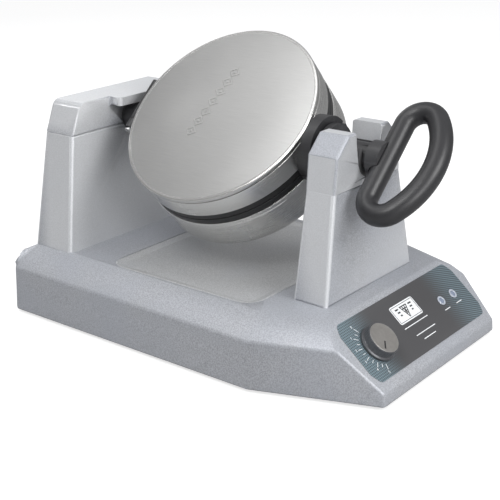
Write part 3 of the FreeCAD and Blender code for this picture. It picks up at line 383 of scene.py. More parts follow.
class Shader:
    """One material's nodes."""

    def __init__(self, name: str) -> None:
        """Starts a material with one Principled shader and nothing linked.

        Args:
            name: Name of the material.
        """
        self.material = bpy.data.materials.new(name)
        self.material.use_nodes = True
        self.tree = self.material.node_tree
        self.principled = next(n for n in self.tree.nodes if n.type == "BSDF_PRINCIPLED")

    def add(self, kind: str, settings: dict | None = None, sockets: dict | None = None,
            out: int | str = 0) -> Wire:
        """Adds a node.

        Args:
            kind: The node's type.
            settings: Attributes to set first.
            sockets: Values or wires for its inputs, by name or number.
            out: The output to return.

        Returns:
            The wire from that output.
        """
        node = self.tree.nodes.new(kind)
        for key, value in (settings or {}).items():
            setattr(node, key, value)
        for key, value in (sockets or {}).items():
            self._feed(node.inputs[key], value)
        return Wire(self, node.outputs[out])

    def _feed(self, socket: bpy.types.NodeSocket, value: object) -> None:
        """Links a wire to an input or sets its value.

        Args:
            socket: The input.
            value: A wire, a number or a colour.
        """
        if isinstance(value, Wire):
            self.tree.links.new(value.socket, socket)
        elif isinstance(value, tuple) and len(value) == 3 and socket.type == "RGBA":
            socket.default_value = (*value, 1.0)
        else:
            socket.default_value = value

    def place(self, scale: tuple[float, float, float] = (1, 1, 1),
              turn: tuple[float, float, float] = (0, 0, 0),
              origin: tuple[float, float, float] = (0, 0, 0)) -> Wire:
        """Returns Object coordinates seen from turned axes and divided by the scale."""
        where = self.add("ShaderNodeTexCoord", out="Object")
        return self.add("ShaderNodeMapping", {"vector_type": "TEXTURE"},
                        {"Vector": where, "Location": origin, "Rotation": turn, "Scale": scale})

    def noise(self, where: Wire, scale: float, detail: float = 3.0,
              roughness: float = 0.55) -> Wire:
        """Returns fractal noise from 0 to 1 at that many waves to a metre."""
        return self.add("ShaderNodeTexNoise", {"noise_dimensions": "3D"},
                        {"Vector": where, "Scale": scale, "Detail": detail,
                         "Roughness": roughness})

    def between(self, mask: Wire, low: float, high: float) -> Wire:
        """Returns low to high as the mask goes from 0 to 1."""
        return mask * (high - low) + low

    def band(self, value: Wire, low: float, high: float) -> Wire:
        """Returns 0 below low, 1 above high and a smooth step between."""
        return self.add("ShaderNodeMapRange", {"interpolation_type": "SMOOTHSTEP"},
                        {"Value": value, "From Min": low, "From Max": high})

    def blend(self, mask: Wire | float, low: Wire | Colour, high: Wire | Colour) -> Wire:
        """Returns one colour going to another as the mask goes from 0 to 1."""
        return self.add("ShaderNodeMix", {"data_type": "RGBA"}, {0: mask, 6: low, 7: high}, 2)

    def wear(self) -> Wire:
        """Returns 1 on outer edges and corners and 0 on flats and in hollows."""
        sharp = self.add("ShaderNodeNewGeometry", out="Pointiness")
        return self.band(sharp, 0.515, 0.60)

    def relief(self, height: Wire, depth: float, strength: float = 1.0) -> None:
        """Feeds a height, times a depth in metres, to the surface as a bump."""
        bump = self.add("ShaderNodeBump", None,
                        {"Height": height, "Distance": depth, "Strength": strength})
        self._feed(self.principled.inputs["Normal"], bump)

    def finish(self, **inputs: object) -> bpy.types.Material:
        """Sets the main shader's inputs, with _ for a space, and returns the material."""
        for key, value in inputs.items():
            self._feed(self.principled.inputs[key.replace("_", " ")], value)
        return self.material


class Grain(Enum):
    """Which way a metal's brushing runs."""

    STRAIGHT = (0.010, 0.6, 0.010)
    ROUND = (1.0, 1.0, 0.010)
    CAST = (0.08, 0.08, 0.08)


@dataclass(frozen=True)
class PaintedCasting:
    """Silver paint with metal flake on a fine-textured casting."""

    name: str
    colour: Colour
    roughness: float = 0.46
    flake: float = 760.0

    def material(self) -> bpy.types.Material:
        """Returns the paint: drifting tone, pale and dark flakes, pebbled bump, rubbed edges."""
        paint = Shader(self.name)
        where = paint.place()
        drift = paint.noise(where, 9.0, 2.0)
        grain = paint.noise(where, self.flake, 2.0, 0.7)
        pebble = paint.noise(where, 620.0, 3.0)
        dark = tuple(value * 0.80 for value in self.colour)
        light = tuple(min(value * 1.22, 0.95) for value in self.colour)
        base = paint.blend(paint.band(grain, 0.34, 0.66), dark, light)
        cool = tuple(v * k for v, k in zip(self.colour, (0.94, 0.97, 1.03)))
        tone = paint.blend(paint.band(drift, 0.35, 0.65) * 0.35, base, cool)
        edge = paint.wear()
        colour = paint.blend(edge * 0.55, tone, (0.86, 0.87, 0.88))
        paint.relief(pebble + grain * 0.5, 0.00016, 0.55)
        return paint.finish(
            Base_Color=colour, Metallic=0.25 + edge * 0.2, Specular_IOR_Level=0.45,
            Roughness=paint.between(grain, self.roughness - 0.08, self.roughness + 0.10))


@dataclass(frozen=True)
class BrushedSteel:
    """Stainless or plated steel with fine lines along its grain."""

    name: str
    colour: Colour
    roughness: float
    grain: Grain
    contrast: float = 0.10

    def material(self) -> bpy.types.Material:
        """Returns the metal: stretched scratches in tone, gloss and bump, and faint clouding."""
        metal = Shader(self.name)
        lines = metal.place(self.grain.value, (0.0, -TILT, 0.0))
        plain = metal.place()
        fine = metal.noise(lines, 22.0, 4.0, 0.65)
        cloud = metal.noise(plain, 14.0, 3.0)
        low = tuple(value * (1 - self.contrast) for value in self.colour)
        high = tuple(min(value * (1 + self.contrast), 0.98) for value in self.colour)
        tone = metal.blend(metal.band(fine, 0.30, 0.70), low, high)
        edge = metal.wear()
        colour = metal.blend(edge * 0.4, tone, (0.90, 0.89, 0.87))
        gloss = metal.between(fine, self.roughness - 0.05, self.roughness + 0.07)
        metal.relief(fine, 0.00004, 0.5)
        return metal.finish(Base_Color=colour, Metallic=1.0,
                            Roughness=gloss + metal.band(cloud, 0.45, 0.75) * 0.05)


@dataclass(frozen=True)
class Moulded:
    """Moulded plastic, rubber, glass lens, iron or board, told apart by a few numbers."""

    name: str
    colour: Colour
    roughness: float = 0.5
    texture: float = 900.0
    depth: float = 0.00006
    metallic: float = 0.0
    rubbed: float = 0.5
    coat: float = 0.0
    glow: float = 0.0

    def material(self) -> bpy.types.Material:
        """Returns the finish: mottled tone, fine pebbled bump and paler rubbed edges."""
        skin = Shader(self.name)
        where = skin.place()
        pebble = skin.noise(where, self.texture, 3.0, 0.6)
        smudge = skin.noise(where, 26.0, 3.0)
        dark = tuple(value * 0.82 for value in self.colour)
        light = tuple(min(value * 1.20 + 0.004, 0.98) for value in self.colour)
        tone = skin.blend(skin.band(pebble, 0.3, 0.7) * 0.6 + smudge * 0.3, dark, light)
        rub = tuple(min(value * 1.5 + 0.03, 0.98) for value in self.colour)
        edge = skin.wear() * self.rubbed
        colour = skin.blend(edge, tone, rub)
        gloss = skin.between(smudge, self.roughness - 0.07, self.roughness + 0.09)
        skin.relief(pebble, self.depth, 0.6)
        if self.glow:
            skin.finish(Emission_Color=colour, Emission_Strength=self.glow)
        return skin.finish(Base_Color=colour, Roughness=gloss - edge * 0.1,
                           Metallic=self.metallic, Coat_Weight=self.coat, Coat_Roughness=0.15)


@dataclass(frozen=True)
class PrintedPanel:
    """Charcoal overlay with pale teal squares at one end and lines at the other."""

    name: str
    ground: Colour = (0.020, 0.018, 0.020)
    ink: Colour = (0.15, 0.235, 0.275)
    deep: Colour = (0.010, 0.024, 0.034)

    def material(self) -> bpy.types.Material:
        """Returns the print, drawn on the panel's own axes and fading to its middle."""
        sheet = Shader(self.name)
        origin = tuple(value * MM for value in PANEL.origin)
        where = sheet.place((MM, MM, MM), (SLOPE, 0.0, 0.0), origin)
        x = sheet.add("ShaderNodeSeparateXYZ", None, {0: where}, "X")
        y = sheet.add("ShaderNodeSeparateXYZ", None, {0: where}, "Y")
        left, right = sheet.band(0.0 - x, 52.0, 104.0), sheet.band(x, 46.0, 96.0)
        rows = sheet.band(y.folded(2.5), 0.30, 0.55)
        columns = sheet.band(x.folded(2.5), 0.30, 0.55)
        squares = (1.0 - rows * columns) * left
        lines = (1.0 - sheet.band((y + x * 0.28).folded(2.5), 0.35, 0.65)) * right
        fibre = sheet.noise(where, 1.6, 2.0)
        ground = sheet.blend(left.largest(right) * 0.85, self.ground, self.deep)
        ground = sheet.blend(fibre * 0.25, ground, (0.045, 0.042, 0.046))
        mask = squares.largest(lines)
        edge = sheet.wear()
        colour = sheet.blend(edge * 0.5, sheet.blend(mask * 0.8, ground, self.ink),
                             (0.30, 0.31, 0.32))
        sheet.relief(fibre, 0.00003, 0.35)
        return sheet.finish(Base_Color=colour, Roughness=sheet.between(fibre, 0.42, 0.52),
                            Coat_Weight=0.25, Coat_Roughness=0.2)


class Finishes:
    """Every finish of the machine, by the record's slot it belongs to."""

    def __init__(self) -> None:
        """Makes all the materials once."""
        recipes = (
            PaintedCasting("silver_paint", (0.375, 0.385, 0.41)),
            PaintedCasting("tray_paint", (0.44, 0.445, 0.45), 0.38, 900.0),
            BrushedSteel("lid_steel", (0.50, 0.498, 0.49), 0.36, Grain.STRAIGHT, 0.05),
            BrushedSteel("side_steel", (0.74, 0.735, 0.72), 0.24, Grain.ROUND, 0.05),
            BrushedSteel("rim_steel", (0.66, 0.655, 0.64), 0.20, Grain.ROUND, 0.04),
            BrushedSteel("plain_steel", (0.50, 0.50, 0.50), 0.38, Grain.CAST),
            BrushedSteel("zinc_fixings", (0.62, 0.63, 0.64), 0.32, Grain.CAST),
            BrushedSteel("knob_steel", (0.50, 0.48, 0.455), 0.34, Grain.CAST, 0.05),
            Moulded("grip_plastic", (0.017, 0.017, 0.019), 0.40, 1200.0, 0.00004, coat=0.05),
            Moulded("band_plastic", (0.014, 0.014, 0.015), 0.42),
            Moulded("black_steel", (0.030, 0.030, 0.031), 0.42, 1000.0, 0.00005, 0.3),
            Moulded("knob_grey", (0.085, 0.088, 0.095), 0.30, metallic=0.3),
            Moulded("foot_rubber", (0.020, 0.020, 0.021), 0.75, 700.0, 0.0001),
            Moulded("plate_iron", (0.060, 0.058, 0.056), 0.40, 800.0, 0.0001, 0.35),
            Moulded("heater_sheath", (0.16, 0.12, 0.10), 0.5, 900.0, 0.00006, 0.8),
            Moulded("white_print", (0.78, 0.80, 0.82), 0.5, rubbed=0.0),
            Moulded("lamp_lens", (0.20, 0.24, 0.32), 0.20, coat=0.8, glow=0.05),
            Moulded("bezel_grey", (0.58, 0.62, 0.70), 0.35, metallic=0.5),
            Moulded("bearing_plastic", (0.045, 0.045, 0.047), 0.5),
            Moulded("circuit_board", (0.03, 0.12, 0.06), 0.5, 300.0),
            PrintedPanel("panel_print"),
        )
        self.by_name = {recipe.name: recipe.material() for recipe in recipes}

    def show(self, piece: bpy.types.Object, finish: str, body: str, slot: str,
             *nodes: str) -> None:
        """Dresses a new piece, hangs it on the body it rides on and hides the CAD nodes it
        stands for.

        Args:
            piece: The finished piece.
            finish: Name of its material.
            body: CAD body it moves with.
            slot: The record's material slot; not used.
            nodes: CAD nodes it stands for.
        """
        piece.data.materials.clear()
        piece.data.materials.append(self.by_name[finish])
        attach(piece, body)
        if nodes:
            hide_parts(*nodes)
        LOG.info("%s on %s: %d faces", piece.name, body, len(piece.data.polygons))

    def dress(self, finish: str, *nodes: str) -> None:
        """Gives CAD nodes that stay in view a material.

        Args:
            finish: Name of the material.
            nodes: Names of the CAD nodes.
        """
        for name in nodes:
            slots = frame["nodes"][name].material_slots
            for number in range(len(slots)):
                slots[number].material = self.by_name[finish]
        LOG.info("%s on %d kept nodes", finish, len(nodes))


# ------------------------------------------------------------------ sub-assemblies

@dataclass
class Stand:
    """Base casting, drip tray, two posts with their caps, feet and what is inside."""

    base_ease: float = 2.6
    post_ease: float = 2.4
    tray_wall: float = 7.0
    tray_corner: float = 21.4
    tray_sheet: float = 1.4

    def build(self, finishes: Finishes) -> None:
        """Builds the stand's pieces and dresses the nodes it keeps.

        Args:
            finishes: The machine's finishes.
        """
        for node, name, width in (("base_casting", "base_shell", self.base_ease),
                                  ("rear_post", "rear_tower", self.post_ease),
                                  ("rear_post_cap", "rear_tower_cap", self.post_ease),
                                  ("front_post", "front_tower", self.post_ease),
                                  ("front_post_cap", "front_tower_yoke", self.post_ease)):
            finishes.show(softened(node, name, width), "silver_paint", "base", "cast_silver",
                          node)
        finishes.show(self.tray(), "tray_paint", "tray", "tray_metal", "drip_tray")
        finishes.dress("plain_steel", "bottom_cover", "plunger_base", "plunger_sleeve",
                       "relay", "sounder", "thermostat")
        finishes.dress("zinc_fixings", "foot_nuts", "post_bolts", "plunger_spring", "plunger")
        finishes.dress("foot_rubber", "rubber_feet")
        finishes.dress("circuit_board", "control_board")
        finishes.dress("bearing_plastic", "front_saddle_liner", "rear_bush",
                       "terminal_block", "cord_inlet", "board_standoffs")

    def tray(self) -> bpy.types.Object:
        """Makes the drip tray as a rounded rectangle drawn in towards its middle.

        The outline is a rounded rectangle. Each row of the surface is that outline moved
        inward by a distance and put at a height: up the outside, over a rounded rim and down
        a hollow wall to the floor. The first row closes the underside, the last the floor.

        Returns:
            The tray.
        """
        low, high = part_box("drip_tray")
        low, high = np.array(low) / MM, np.array(high) / MM
        middle, half = (low + high)[:2] / 2, (high - low)[:2] / 2
        top, floor = high[2], low[2]
        wall, sheet = self.tray_wall, self.tray_sheet
        rows = eased([(0.6, floor), (0.0, floor + 0.6), (0.0, top), (wall * 0.35, top),
                      (wall + 3.0, floor + sheet), (wall + 9.0, floor + sheet)],
                     [0, 0.2, 0.8, 1.2, 6.0, 0], 7, closed=False)
        grid = np.stack([self.outline(half, inset) for inset in rows[:, 0]])
        height = np.broadcast_to(rows[:, 1][:, None, None], (*grid.shape[:2], 1))
        points = np.concatenate([grid + middle, height], axis=-1)
        shape = Mesh()
        shape.add(points * MM, round_columns=True, caps=True)
        return shape.make("tray_dish", 30.0)

    def outline(self, half: np.ndarray, inset: float) -> np.ndarray:
        """Returns a rounded rectangle about the middle, moved inward by a distance."""
        x, y = half - inset
        corner = max(self.tray_corner - inset, 0.2)
        return eased([(x, -y), (x, y), (-x, y), (-x, -y)], min(corner, 0.9 * min(x, y)), 12)


@dataclass
class Drum:
    """Cooking drum: two steel shells, black bands, waffle plates and the lid's raised mark."""

    radius: float = 115.0
    lid: float = 38.0
    shell: float = 54.0
    band: float = 8.5
    split: float = 0.5
    skin: float = 1.5
    groove: float = 0.9
    rim: float = 5.0
    plate: float = 102.0
    plate_depth: float = 11.0
    batter: float = 1.5
    rib_pitch: float = 8.0
    mark_long: float = 98.0
    mark_wide: float = 19.0
    mark_place: tuple[float, float] = (12.0, 17.0)
    mark_turn: float = -9.0
    steps: int = 224

    def build(self, finishes: Finishes) -> None:
        """Builds the drum's pieces and dresses the nodes it keeps.

        Args:
            finishes: The machine's finishes.
        """
        show = finishes.show
        show(self.pan(), "side_steel", "drum", "drum_steel", "lower_shell")
        show(self.lid_wall(), "side_steel", "lid", "drum_steel", "lid_side")
        show(self.lid_disc(), "lid_steel", "lid", "drum_steel", "lid_top")
        show(self.lid_rim(), "rim_steel", "lid", "drum_steel")
        show(self.mark(), "lid_steel", "lid", "drum_steel")
        for node, name, low, high, body in (
                ("lower_band", "lower_ring", -self.band, -self.split, "drum"),
                ("upper_band", "upper_ring", self.split, self.band, "lid")):
            show(self.ring(name, low, high), "band_plastic", body, "band_black", node)
        for node, name, facing, body in (("lower_plate", "lower_waffle_plate", -1, "drum"),
                                         ("upper_plate", "upper_waffle_plate", 1, "lid")):
            show(self.waffle_plate(name, facing), "plate_iron", body, "plate_iron", node)
        finishes.dress("heater_sheath", "lower_element", "upper_element")
        finishes.dress("plain_steel", "lower_reflector", "upper_reflector", "lower_pillars",
                       "upper_pillars", "rear_trunnion")
        finishes.dress("zinc_fixings", "lower_screws", "hinge_pin")
        finishes.dress("black_steel", "rear_carrier", "lid_knuckle", "left_hinge_bracket",
                       "right_hinge_bracket")

    def revolve(self, name: str, corners: Sequence[Sequence[float]],
                radii: Sequence[float]) -> bpy.types.Object:
        """Turns a closed profile with eased corners about the drum's own middle line.

        Args:
            name: Name of the piece.
            corners: The profile's corners, (radius, height) each, in mm.
            radii: Radius of each corner.

        Returns:
            The piece.
        """
        shape = Mesh()
        shape.add(DRUM.world(turned(eased(corners, radii, 7), self.steps)), round_rows=True,
                  round_columns=True)
        return shape.make(name)

    def pan(self) -> bpy.types.Object:
        """Makes the lower shell: a pan with a rolled lower edge and a bead under its band.

        Returns:
            The pan.
        """
        r, inner, low = self.radius, self.radius - self.skin, -self.shell
        return self.revolve("lower_pan", [
            (0, low + 0.4), (70, low), (r, low), (r, -self.band - 6.0),
            (r - 0.5, -self.band - 5.2), (r, -self.band - 4.4), (r, -self.band),
            (inner, -self.band), (inner, low + self.skin), (0, low + self.skin)],
            [0, 0, 9.0, 0.3, 0.3, 0.3, 0.5, 0.3, 7.0, 0])

    def lid_wall(self) -> bpy.types.Object:
        """Makes the lid's side: a plain ring, eased at both edges."""
        inner, top = self.radius - self.skin, self.lid - self.rim - self.groove
        return self.revolve("lid_wall", [(inner, self.band), (self.radius, self.band),
                                         (self.radius, top), (inner, top)], [0.1, 0.5, 0.7, 0.1])

    def lid_disc(self) -> bpy.types.Object:
        """Makes the lid's flat top, a hair below its rolled rim."""
        edge, top, under = self.radius - 3.7, self.lid - 0.1, self.lid - self.skin - 0.6
        return self.revolve("lid_disc", [(0, top), (60, top), (edge, top), (edge, under),
                                         (0, under)], [0, 0, 0.3, 0.1, 0])

    def lid_rim(self) -> bpy.types.Object:
        """Makes the rolled rim round the lid's top, standing over a dark groove.

        Returns:
            The rim.
        """
        r, low, top = self.radius, self.lid - self.rim, self.lid
        return self.revolve("lid_rolled_rim", [
            (r - 3.9, top - 1.6), (r - 3.8, low), (r, low), (r, top), (r - 3.9, top - 0.1)],
            [0.1, 0.1, 0.6, 3.2, 0.1])

    def ring(self, name: str, low: float, high: float) -> bpy.types.Object:
        """Makes half of the black band, with a step next to the steel.

        Args:
            name: Name of the piece.
            low: Lower face in mm.
            high: Upper face in mm.

        Returns:
            The ring.
        """
        outer, inner = self.radius - 0.6, self.radius - 6.0
        return self.revolve(name, [(inner, low), (outer, low), (outer, high), (inner, high)],
                            [0.3, 0.9, 0.9, 0.3])

    def waffle_plate(self, name: str, side: int) -> bpy.types.Object:
        """Makes a cooking plate whose face carries a square lattice of rounded ribs.

        A square grid is wrapped over a disc: its middle is the face, its outer rings run
        down the edge and close at the middle of the back. The face is flat at the rim, drops
        by the batter depth inside it, and rises at each lattice line by a rounded rib.

        Args:
            name: Name of the piece.
            side: 1 where the back is up, -1 where it is down.

        Returns:
            The plate.
        """
        cells, face_part, edge_part = 260, 0.93, 0.95
        reach, angle = disc_map(cells)
        size = np.abs(reach)
        radius = np.where(size < face_part, self.plate * size / face_part, self.plate)
        back = np.clip((size - edge_part) / (1 - edge_part), 0, 1)
        radius = radius * (1 - back)
        signed = np.sign(reach) * radius
        x, y = signed * np.cos(angle), signed * np.sin(angle)
        fold = [np.abs(axis / self.rib_pitch - np.round(axis / self.rib_pitch))
                for axis in ((x + y) / math.sqrt(2), (x - y) / math.sqrt(2))]
        rib = 1 - ramp(np.minimum(fold[0], fold[1]), 0.07, 0.20)
        inside = 1 - ramp(radius, self.plate - 6.0, self.plate - 4.2)
        depth = inside * (self.batter - 1.1 * rib)
        edge = np.clip((size - face_part) / (edge_part - face_part), 0, 1)
        height = self.split + np.where(size <= face_part, depth, edge * self.plate_depth)
        shape = Mesh()
        shape.add(DRUM.world(np.stack([x, y, side * height], axis=-1)))
        return shape.make(name, 50.0)

    def mark(self) -> bpy.types.Object:
        """Makes a plain raised mark on the lid: a band of lozenges, as on a waffle.

        The height is the smooth step of the distance from the nearest lozenge's outline,
        over a long patch whose edge lies just under the lid's face.

        Returns:
            The patch.
        """
        long, wide = self.mark_long / 2, self.mark_wide / 2
        x, y = np.meshgrid(np.linspace(-long, long, 337), np.linspace(-wide, wide, 77),
                           indexing="ij")
        pitch = self.mark_long / 7
        cell = np.abs(x / pitch - np.round(x / pitch)) * 2
        shape = cell + np.abs(y) / (wide - 1.2)
        stroke = ramp(shape, 0.60, 0.68) * (1 - ramp(shape, 0.92, 1.0))
        core = 1 - ramp(shape, 0.22, 0.30)
        height = self.lid - 0.22 + 0.80 * np.maximum(stroke, core) * (np.abs(x) < long - 1.0)
        turn = math.radians(self.mark_turn)
        x, y = (self.mark_place[0] + x * math.cos(turn) - y * math.sin(turn),
                self.mark_place[1] + x * math.sin(turn) + y * math.cos(turn))
        shape_mesh = Mesh()
        top = np.stack([x, y, height], axis=-1)
        under = np.stack([x, y, np.full_like(x, self.lid - 1.2)], axis=-1)
        grid = np.concatenate([top, under[::-1]], axis=0)
        shape_mesh.add(DRUM.world(grid), round_rows=True)
        for side in (0, -1):
            shape_mesh.add(DRUM.world(np.stack([top[:, side], under[:, side]])))
        return shape_mesh.make("lid_raised_mark", 60.0)


@dataclass
class Axle:
    """Collars, journal and hub on the drum's axle, and the D handle."""

    bar_y: float = -165.0
    bar_half: float = 44.0
    depth: float = 54.0
    end: float = 19.0
    grip: float = 12.0

    def build(self, finishes: Finishes) -> None:
        """Builds the axle's pieces.

        Args:
            finishes: The machine's finishes.
        """
        show = finishes.show
        for node, name, body, width in (
                ("lower_front_collar", "lower_collar_half", "drum", 1.6),
                ("lid_lift_collar", "lifting_collar_half", "lid", 1.6),
                ("front_journal", "stepped_journal", "drum", 1.0),
                ("rear_collar", "rear_axle_collar", "drum", 1.2),
                ("handle_hub", "handle_socket", "drum", 1.4)):
            show(softened(node, name, width, 40.0, 2.0), "grip_plastic", body,
                 "grip_plastic", node)
        show(self.handle(), "grip_plastic", "drum", "grip_plastic", "d_handle")

    def path(self, count: int) -> tuple[np.ndarray, np.ndarray]:
        """Samples the handle's closed line: a bar, two end bends and a bowed grip.

        The line is two straight or gently curved runs joined by two tight arcs; points are
        spread along it by length.

        Args:
            count: Points round the line.

        Returns:
            Points (count, 2) and how far each is along the grip, 0 on the bar to 1 at the
            middle of the grip.
        """
        bow = (self.bar_half ** 2 / (self.depth - 2 * self.end) + self.depth) / 2
        middle = np.array([0.0, self.bar_y - self.depth + bow])
        centre = np.array([self.bar_half, self.bar_y - self.end])
        lean = math.atan2(*(centre - middle)[::-1])
        turn = np.linspace(math.pi / 2, lean, 40)
        bend = centre + self.end * np.stack([np.cos(turn), np.sin(turn)], axis=1)
        sweep = np.linspace(lean, -math.pi / 2, 90)
        grip = middle + bow * np.stack([np.cos(sweep), np.sin(sweep)], axis=1)
        half = np.concatenate([[[0.0, self.bar_y]], bend, grip[1:]])
        other = half[-2:0:-1] * np.array([-1.0, 1.0])
        line = np.concatenate([half, other, half[:1]])
        steps = np.concatenate([[0], np.cumsum(np.linalg.norm(np.diff(line, axis=0), axis=1))])
        along = np.linspace(0, steps[-1], count, endpoint=False)
        points = np.stack([np.interp(along, steps, line[:, k]) for k in (0, 1)], axis=1)
        return points, ramp(self.bar_y - points[:, 1], 0.0, self.depth)

    def handle(self) -> bpy.types.Object:
        """Makes the D handle as one closed tube, thicker at the middle of its grip.

        At each point of the line an oval is drawn across it: in the handle's plane its half
        width swells from the bar to the grip, and out of the plane it stays the tube's.

        Returns:
            The handle.
        """
        line, swell = self.path(288)
        ahead = np.roll(line, -1, axis=0) - np.roll(line, 1, axis=0)
        ahead /= np.linalg.norm(ahead, axis=1, keepdims=True)
        side = np.stack([ahead[:, 1], -ahead[:, 0]], axis=1)
        angle = np.linspace(0, TURN, 48, endpoint=False)[None, :, None]
        wide = (self.grip - 1.0 + 1.0 * swell)[:, None, None]
        tall = (self.grip - 0.4 + 0.4 * swell)[:, None, None]
        flat = line[:, None] + side[:, None] * np.cos(angle) * wide
        grid = np.concatenate([flat, np.sin(angle) * tall], axis=-1)
        shape = Mesh()
        shape.add(AXLE.world(grid), round_rows=True, round_columns=True)
        return shape.make("d_grip", 60.0)


@dataclass
class Panel:
    """Printed overlay, knob, lamps, scale and plain signs."""

    half: float = 111.0
    low: float = 12.0
    high: float = 83.0
    chamfer: float = 12.0
    sheet: float = 0.8
    knob_x: float = -74.5
    knob_up: float = 46.0
    lamps_up: float = 48.5
    knob_radius: float = 18.0
    knob_height: float = 12.0
    gap: float = 0.8
    flutes: int = 36
    ink: float = 0.12
    plate_box: tuple[float, float, float, float] = (-24.0, 20.0, 48.5, 70.5)

    def build(self, finishes: Finishes) -> None:
        """Builds the panel's pieces and dresses the nodes it keeps.

        Args:
            finishes: The machine's finishes.
        """
        show = finishes.show
        show(self.overlay(), "panel_print", "base", "overlay", "panel_overlay")
        show(self.knob_body(), "knob_grey", "knob", "knob_grey", "knob")
        show(self.knob_disc(), "knob_steel", "knob", "knob_metal", "knob_face")
        show(self.pointer(), "band_plastic", "knob", "white_print", "knob_pointer")
        show(self.scale(), "white_print", "base", "white_print")
        show(self.numbers(), "white_print", "base", "white_print")
        show(self.sign(), "white_print", "base", "white_print")
        show(self.plate(), "white_print", "base", "white_print")
        show(self.pictogram(), "band_plastic", "base", "overlay")
        for node, name in (("power_lamp", "power_lens"), ("ready_lamp", "ready_lens")):
            show(self.lens(name, node), "lamp_lens", "base", "lamp", node)
        for node, name in (("power_bezel", "power_ring"), ("ready_bezel", "ready_ring")):
            show(softened(node, name, 0.2, 40.0, 0.2), "bezel_grey", "base", "bezel", node)
        finishes.dress("plain_steel", "knob_shaft")

    def overlay(self) -> bpy.types.Object:
        """Makes the overlay: a thin plate whose ends are cut back at the corners.

        The outline is an eight-sided figure with eased corners. Its rows are the top, drawn
        in a hair, the top of the edge and the underside; the first and last are closed flat.

        Returns:
            The overlay.
        """
        half, cut, low, high = self.half, self.chamfer, self.low, self.high
        outline = eased([(half - 6, low), (half, low + cut), (half, high - cut),
                         (half - 6, high), (6 - half, high), (-half, high - cut),
                         (-half, low + cut), (6 - half, low)], 7.0, 8)
        middle = np.array([0.0, (low + high) / 2])
        keep = np.array([0.997, 1.0, 1.0])
        height = np.array([self.sheet, self.sheet - 0.2, 0.0])
        flat = middle + (outline - middle)[None] * keep[:, None, None]
        tall = np.broadcast_to(height[:, None, None], (*flat.shape[:2], 1))
        shape = Mesh()
        shape.add(PANEL.world(np.concatenate([flat, tall], axis=-1)), round_columns=True,
                  caps=True)
        return shape.make("panel_sheet", 20.0)

    def at_knob(self, points: np.ndarray) -> np.ndarray:
        """Moves points drawn about the knob's middle to the panel and into the frame."""
        return PANEL.world(points + np.array([self.knob_x, self.knob_up, 0.0]))

    def knob_body(self) -> bpy.types.Object:
        """Makes the knob: a skirt, a fluted side and an eased crown.

        The radius of the side is its profile's radius less a small cosine wave round the
        knob, which fades out on the skirt and at the crown.

        Returns:
            The knob.
        """
        low = self.sheet + self.gap
        top, r = low + self.knob_height, self.knob_radius
        profile = eased([(0.0, top - 1.0), (r - 1.0, top - 1.0), (r - 1.0, top), (r, top),
                         (r, low + 3.0), (r + 2.0, low + 2.2), (r + 2.0, low), (0.0, low)],
                        [0, 0.1, 0.2, 0.5, 0.8, 0.6, 0.2, 0], 6)
        steps = self.flutes * 8
        grid = turned(profile, steps)
        angle = np.linspace(0, TURN, steps, endpoint=False)[:, None]
        height = profile[None, :, 1]
        mask = ramp(height, low + 3.1, low + 4.2) * (1 - ramp(height, top - 1.8, top - 0.8))
        mask = mask * (profile[None, :, 0] > r - 1)
        keep = 1 - 0.045 * mask * (0.5 - 0.5 * np.cos(self.flutes * angle))
        grid[..., :2] *= keep[..., None]
        shape = Mesh()
        shape.add(self.at_knob(grid), round_rows=True, round_columns=True)
        return shape.make("fluted_knob", 40.0)

    def knob_disc(self) -> bpy.types.Object:
        """Makes the knob's metal face: a disc with fine turned rings and an eased edge.

        Returns:
            The face.
        """
        top = self.sheet + self.gap + self.knob_height + 0.2
        r = self.knob_radius - 1.1
        radius = np.linspace(0, r - 0.7, 40)
        rings = np.stack([radius, top + 0.02 * np.cos(radius * 4.0) - 0.02], axis=1)
        edge = eased([(r - 0.6, top), (r, top), (r, top - 1.1), (0.0, top - 1.1)],
                     [0, 0.5, 0, 0], 5, closed=False)
        shape = Mesh()
        shape.add(self.at_knob(turned(np.concatenate([rings, edge]), 96)), round_rows=True,
                  round_columns=True)
        return shape.make("knob_metal_face", 40.0)

    def bar(self, start: np.ndarray, end: np.ndarray, width: float, low: float,
            high: float) -> np.ndarray:
        """Returns the closed surface of a thin straight stroke as a grid of its corners.

        Args:
            start: First end, (x, y).
            end: Second end, (x, y).
            width: Width of the stroke.
            low: Underside.
            high: Top.

        Returns:
            Array (5, 4, 3): the outline at the underside and the top, drawn in to a line.
        """
        ahead = (end - start) / np.linalg.norm(end - start)
        side = np.array([-ahead[1], ahead[0]]) * width / 2
        ring = np.stack([start - side, end - side, end + side, start + side])
        middle = ring.mean(axis=0)
        keep = np.array([0.0, 1.0, 1.0, 0.94, 0.0])[:, None, None]
        tall = np.array([low, low, high - 0.02, high, high])[:, None, None]
        flat = middle + (ring - middle)[None] * keep
        return np.concatenate([flat, np.broadcast_to(tall, (5, 4, 1))], axis=-1)

    def pointer(self) -> bpy.types.Object:
        """Makes the dark line let into the knob's face, pointing to its off stop.

        Returns:
            The line.
        """
        top = self.sheet + self.gap + self.knob_height
        ray = np.array([-1.0, -1.0]) / math.sqrt(2)
        shape = Mesh()
        shape.add(self.at_knob(self.bar(ray * 4.2, ray * 13.8, 1.9, top - 0.4, top + 0.26)),
                  round_columns=True)
        return shape.make("pointer_line")

    def scale(self) -> bpy.types.Object:
        """Makes the printed scale: strokes fanned round the knob's left side.

        Returns:
            The strokes.
        """
        shape = Mesh()
        for number in range(11):
            angle = math.radians(118 + number * 13)
            ray = np.array([math.cos(angle), math.sin(angle)])
            reach = 28.5 if number % 2 == 0 else 26.5
            shape.add(self.at_knob(self.bar(ray * 22.5, ray * reach, 0.55, self.sheet - 0.05,
                                            self.sheet + self.ink)), round_columns=True)
        return shape.make("knob_scale")

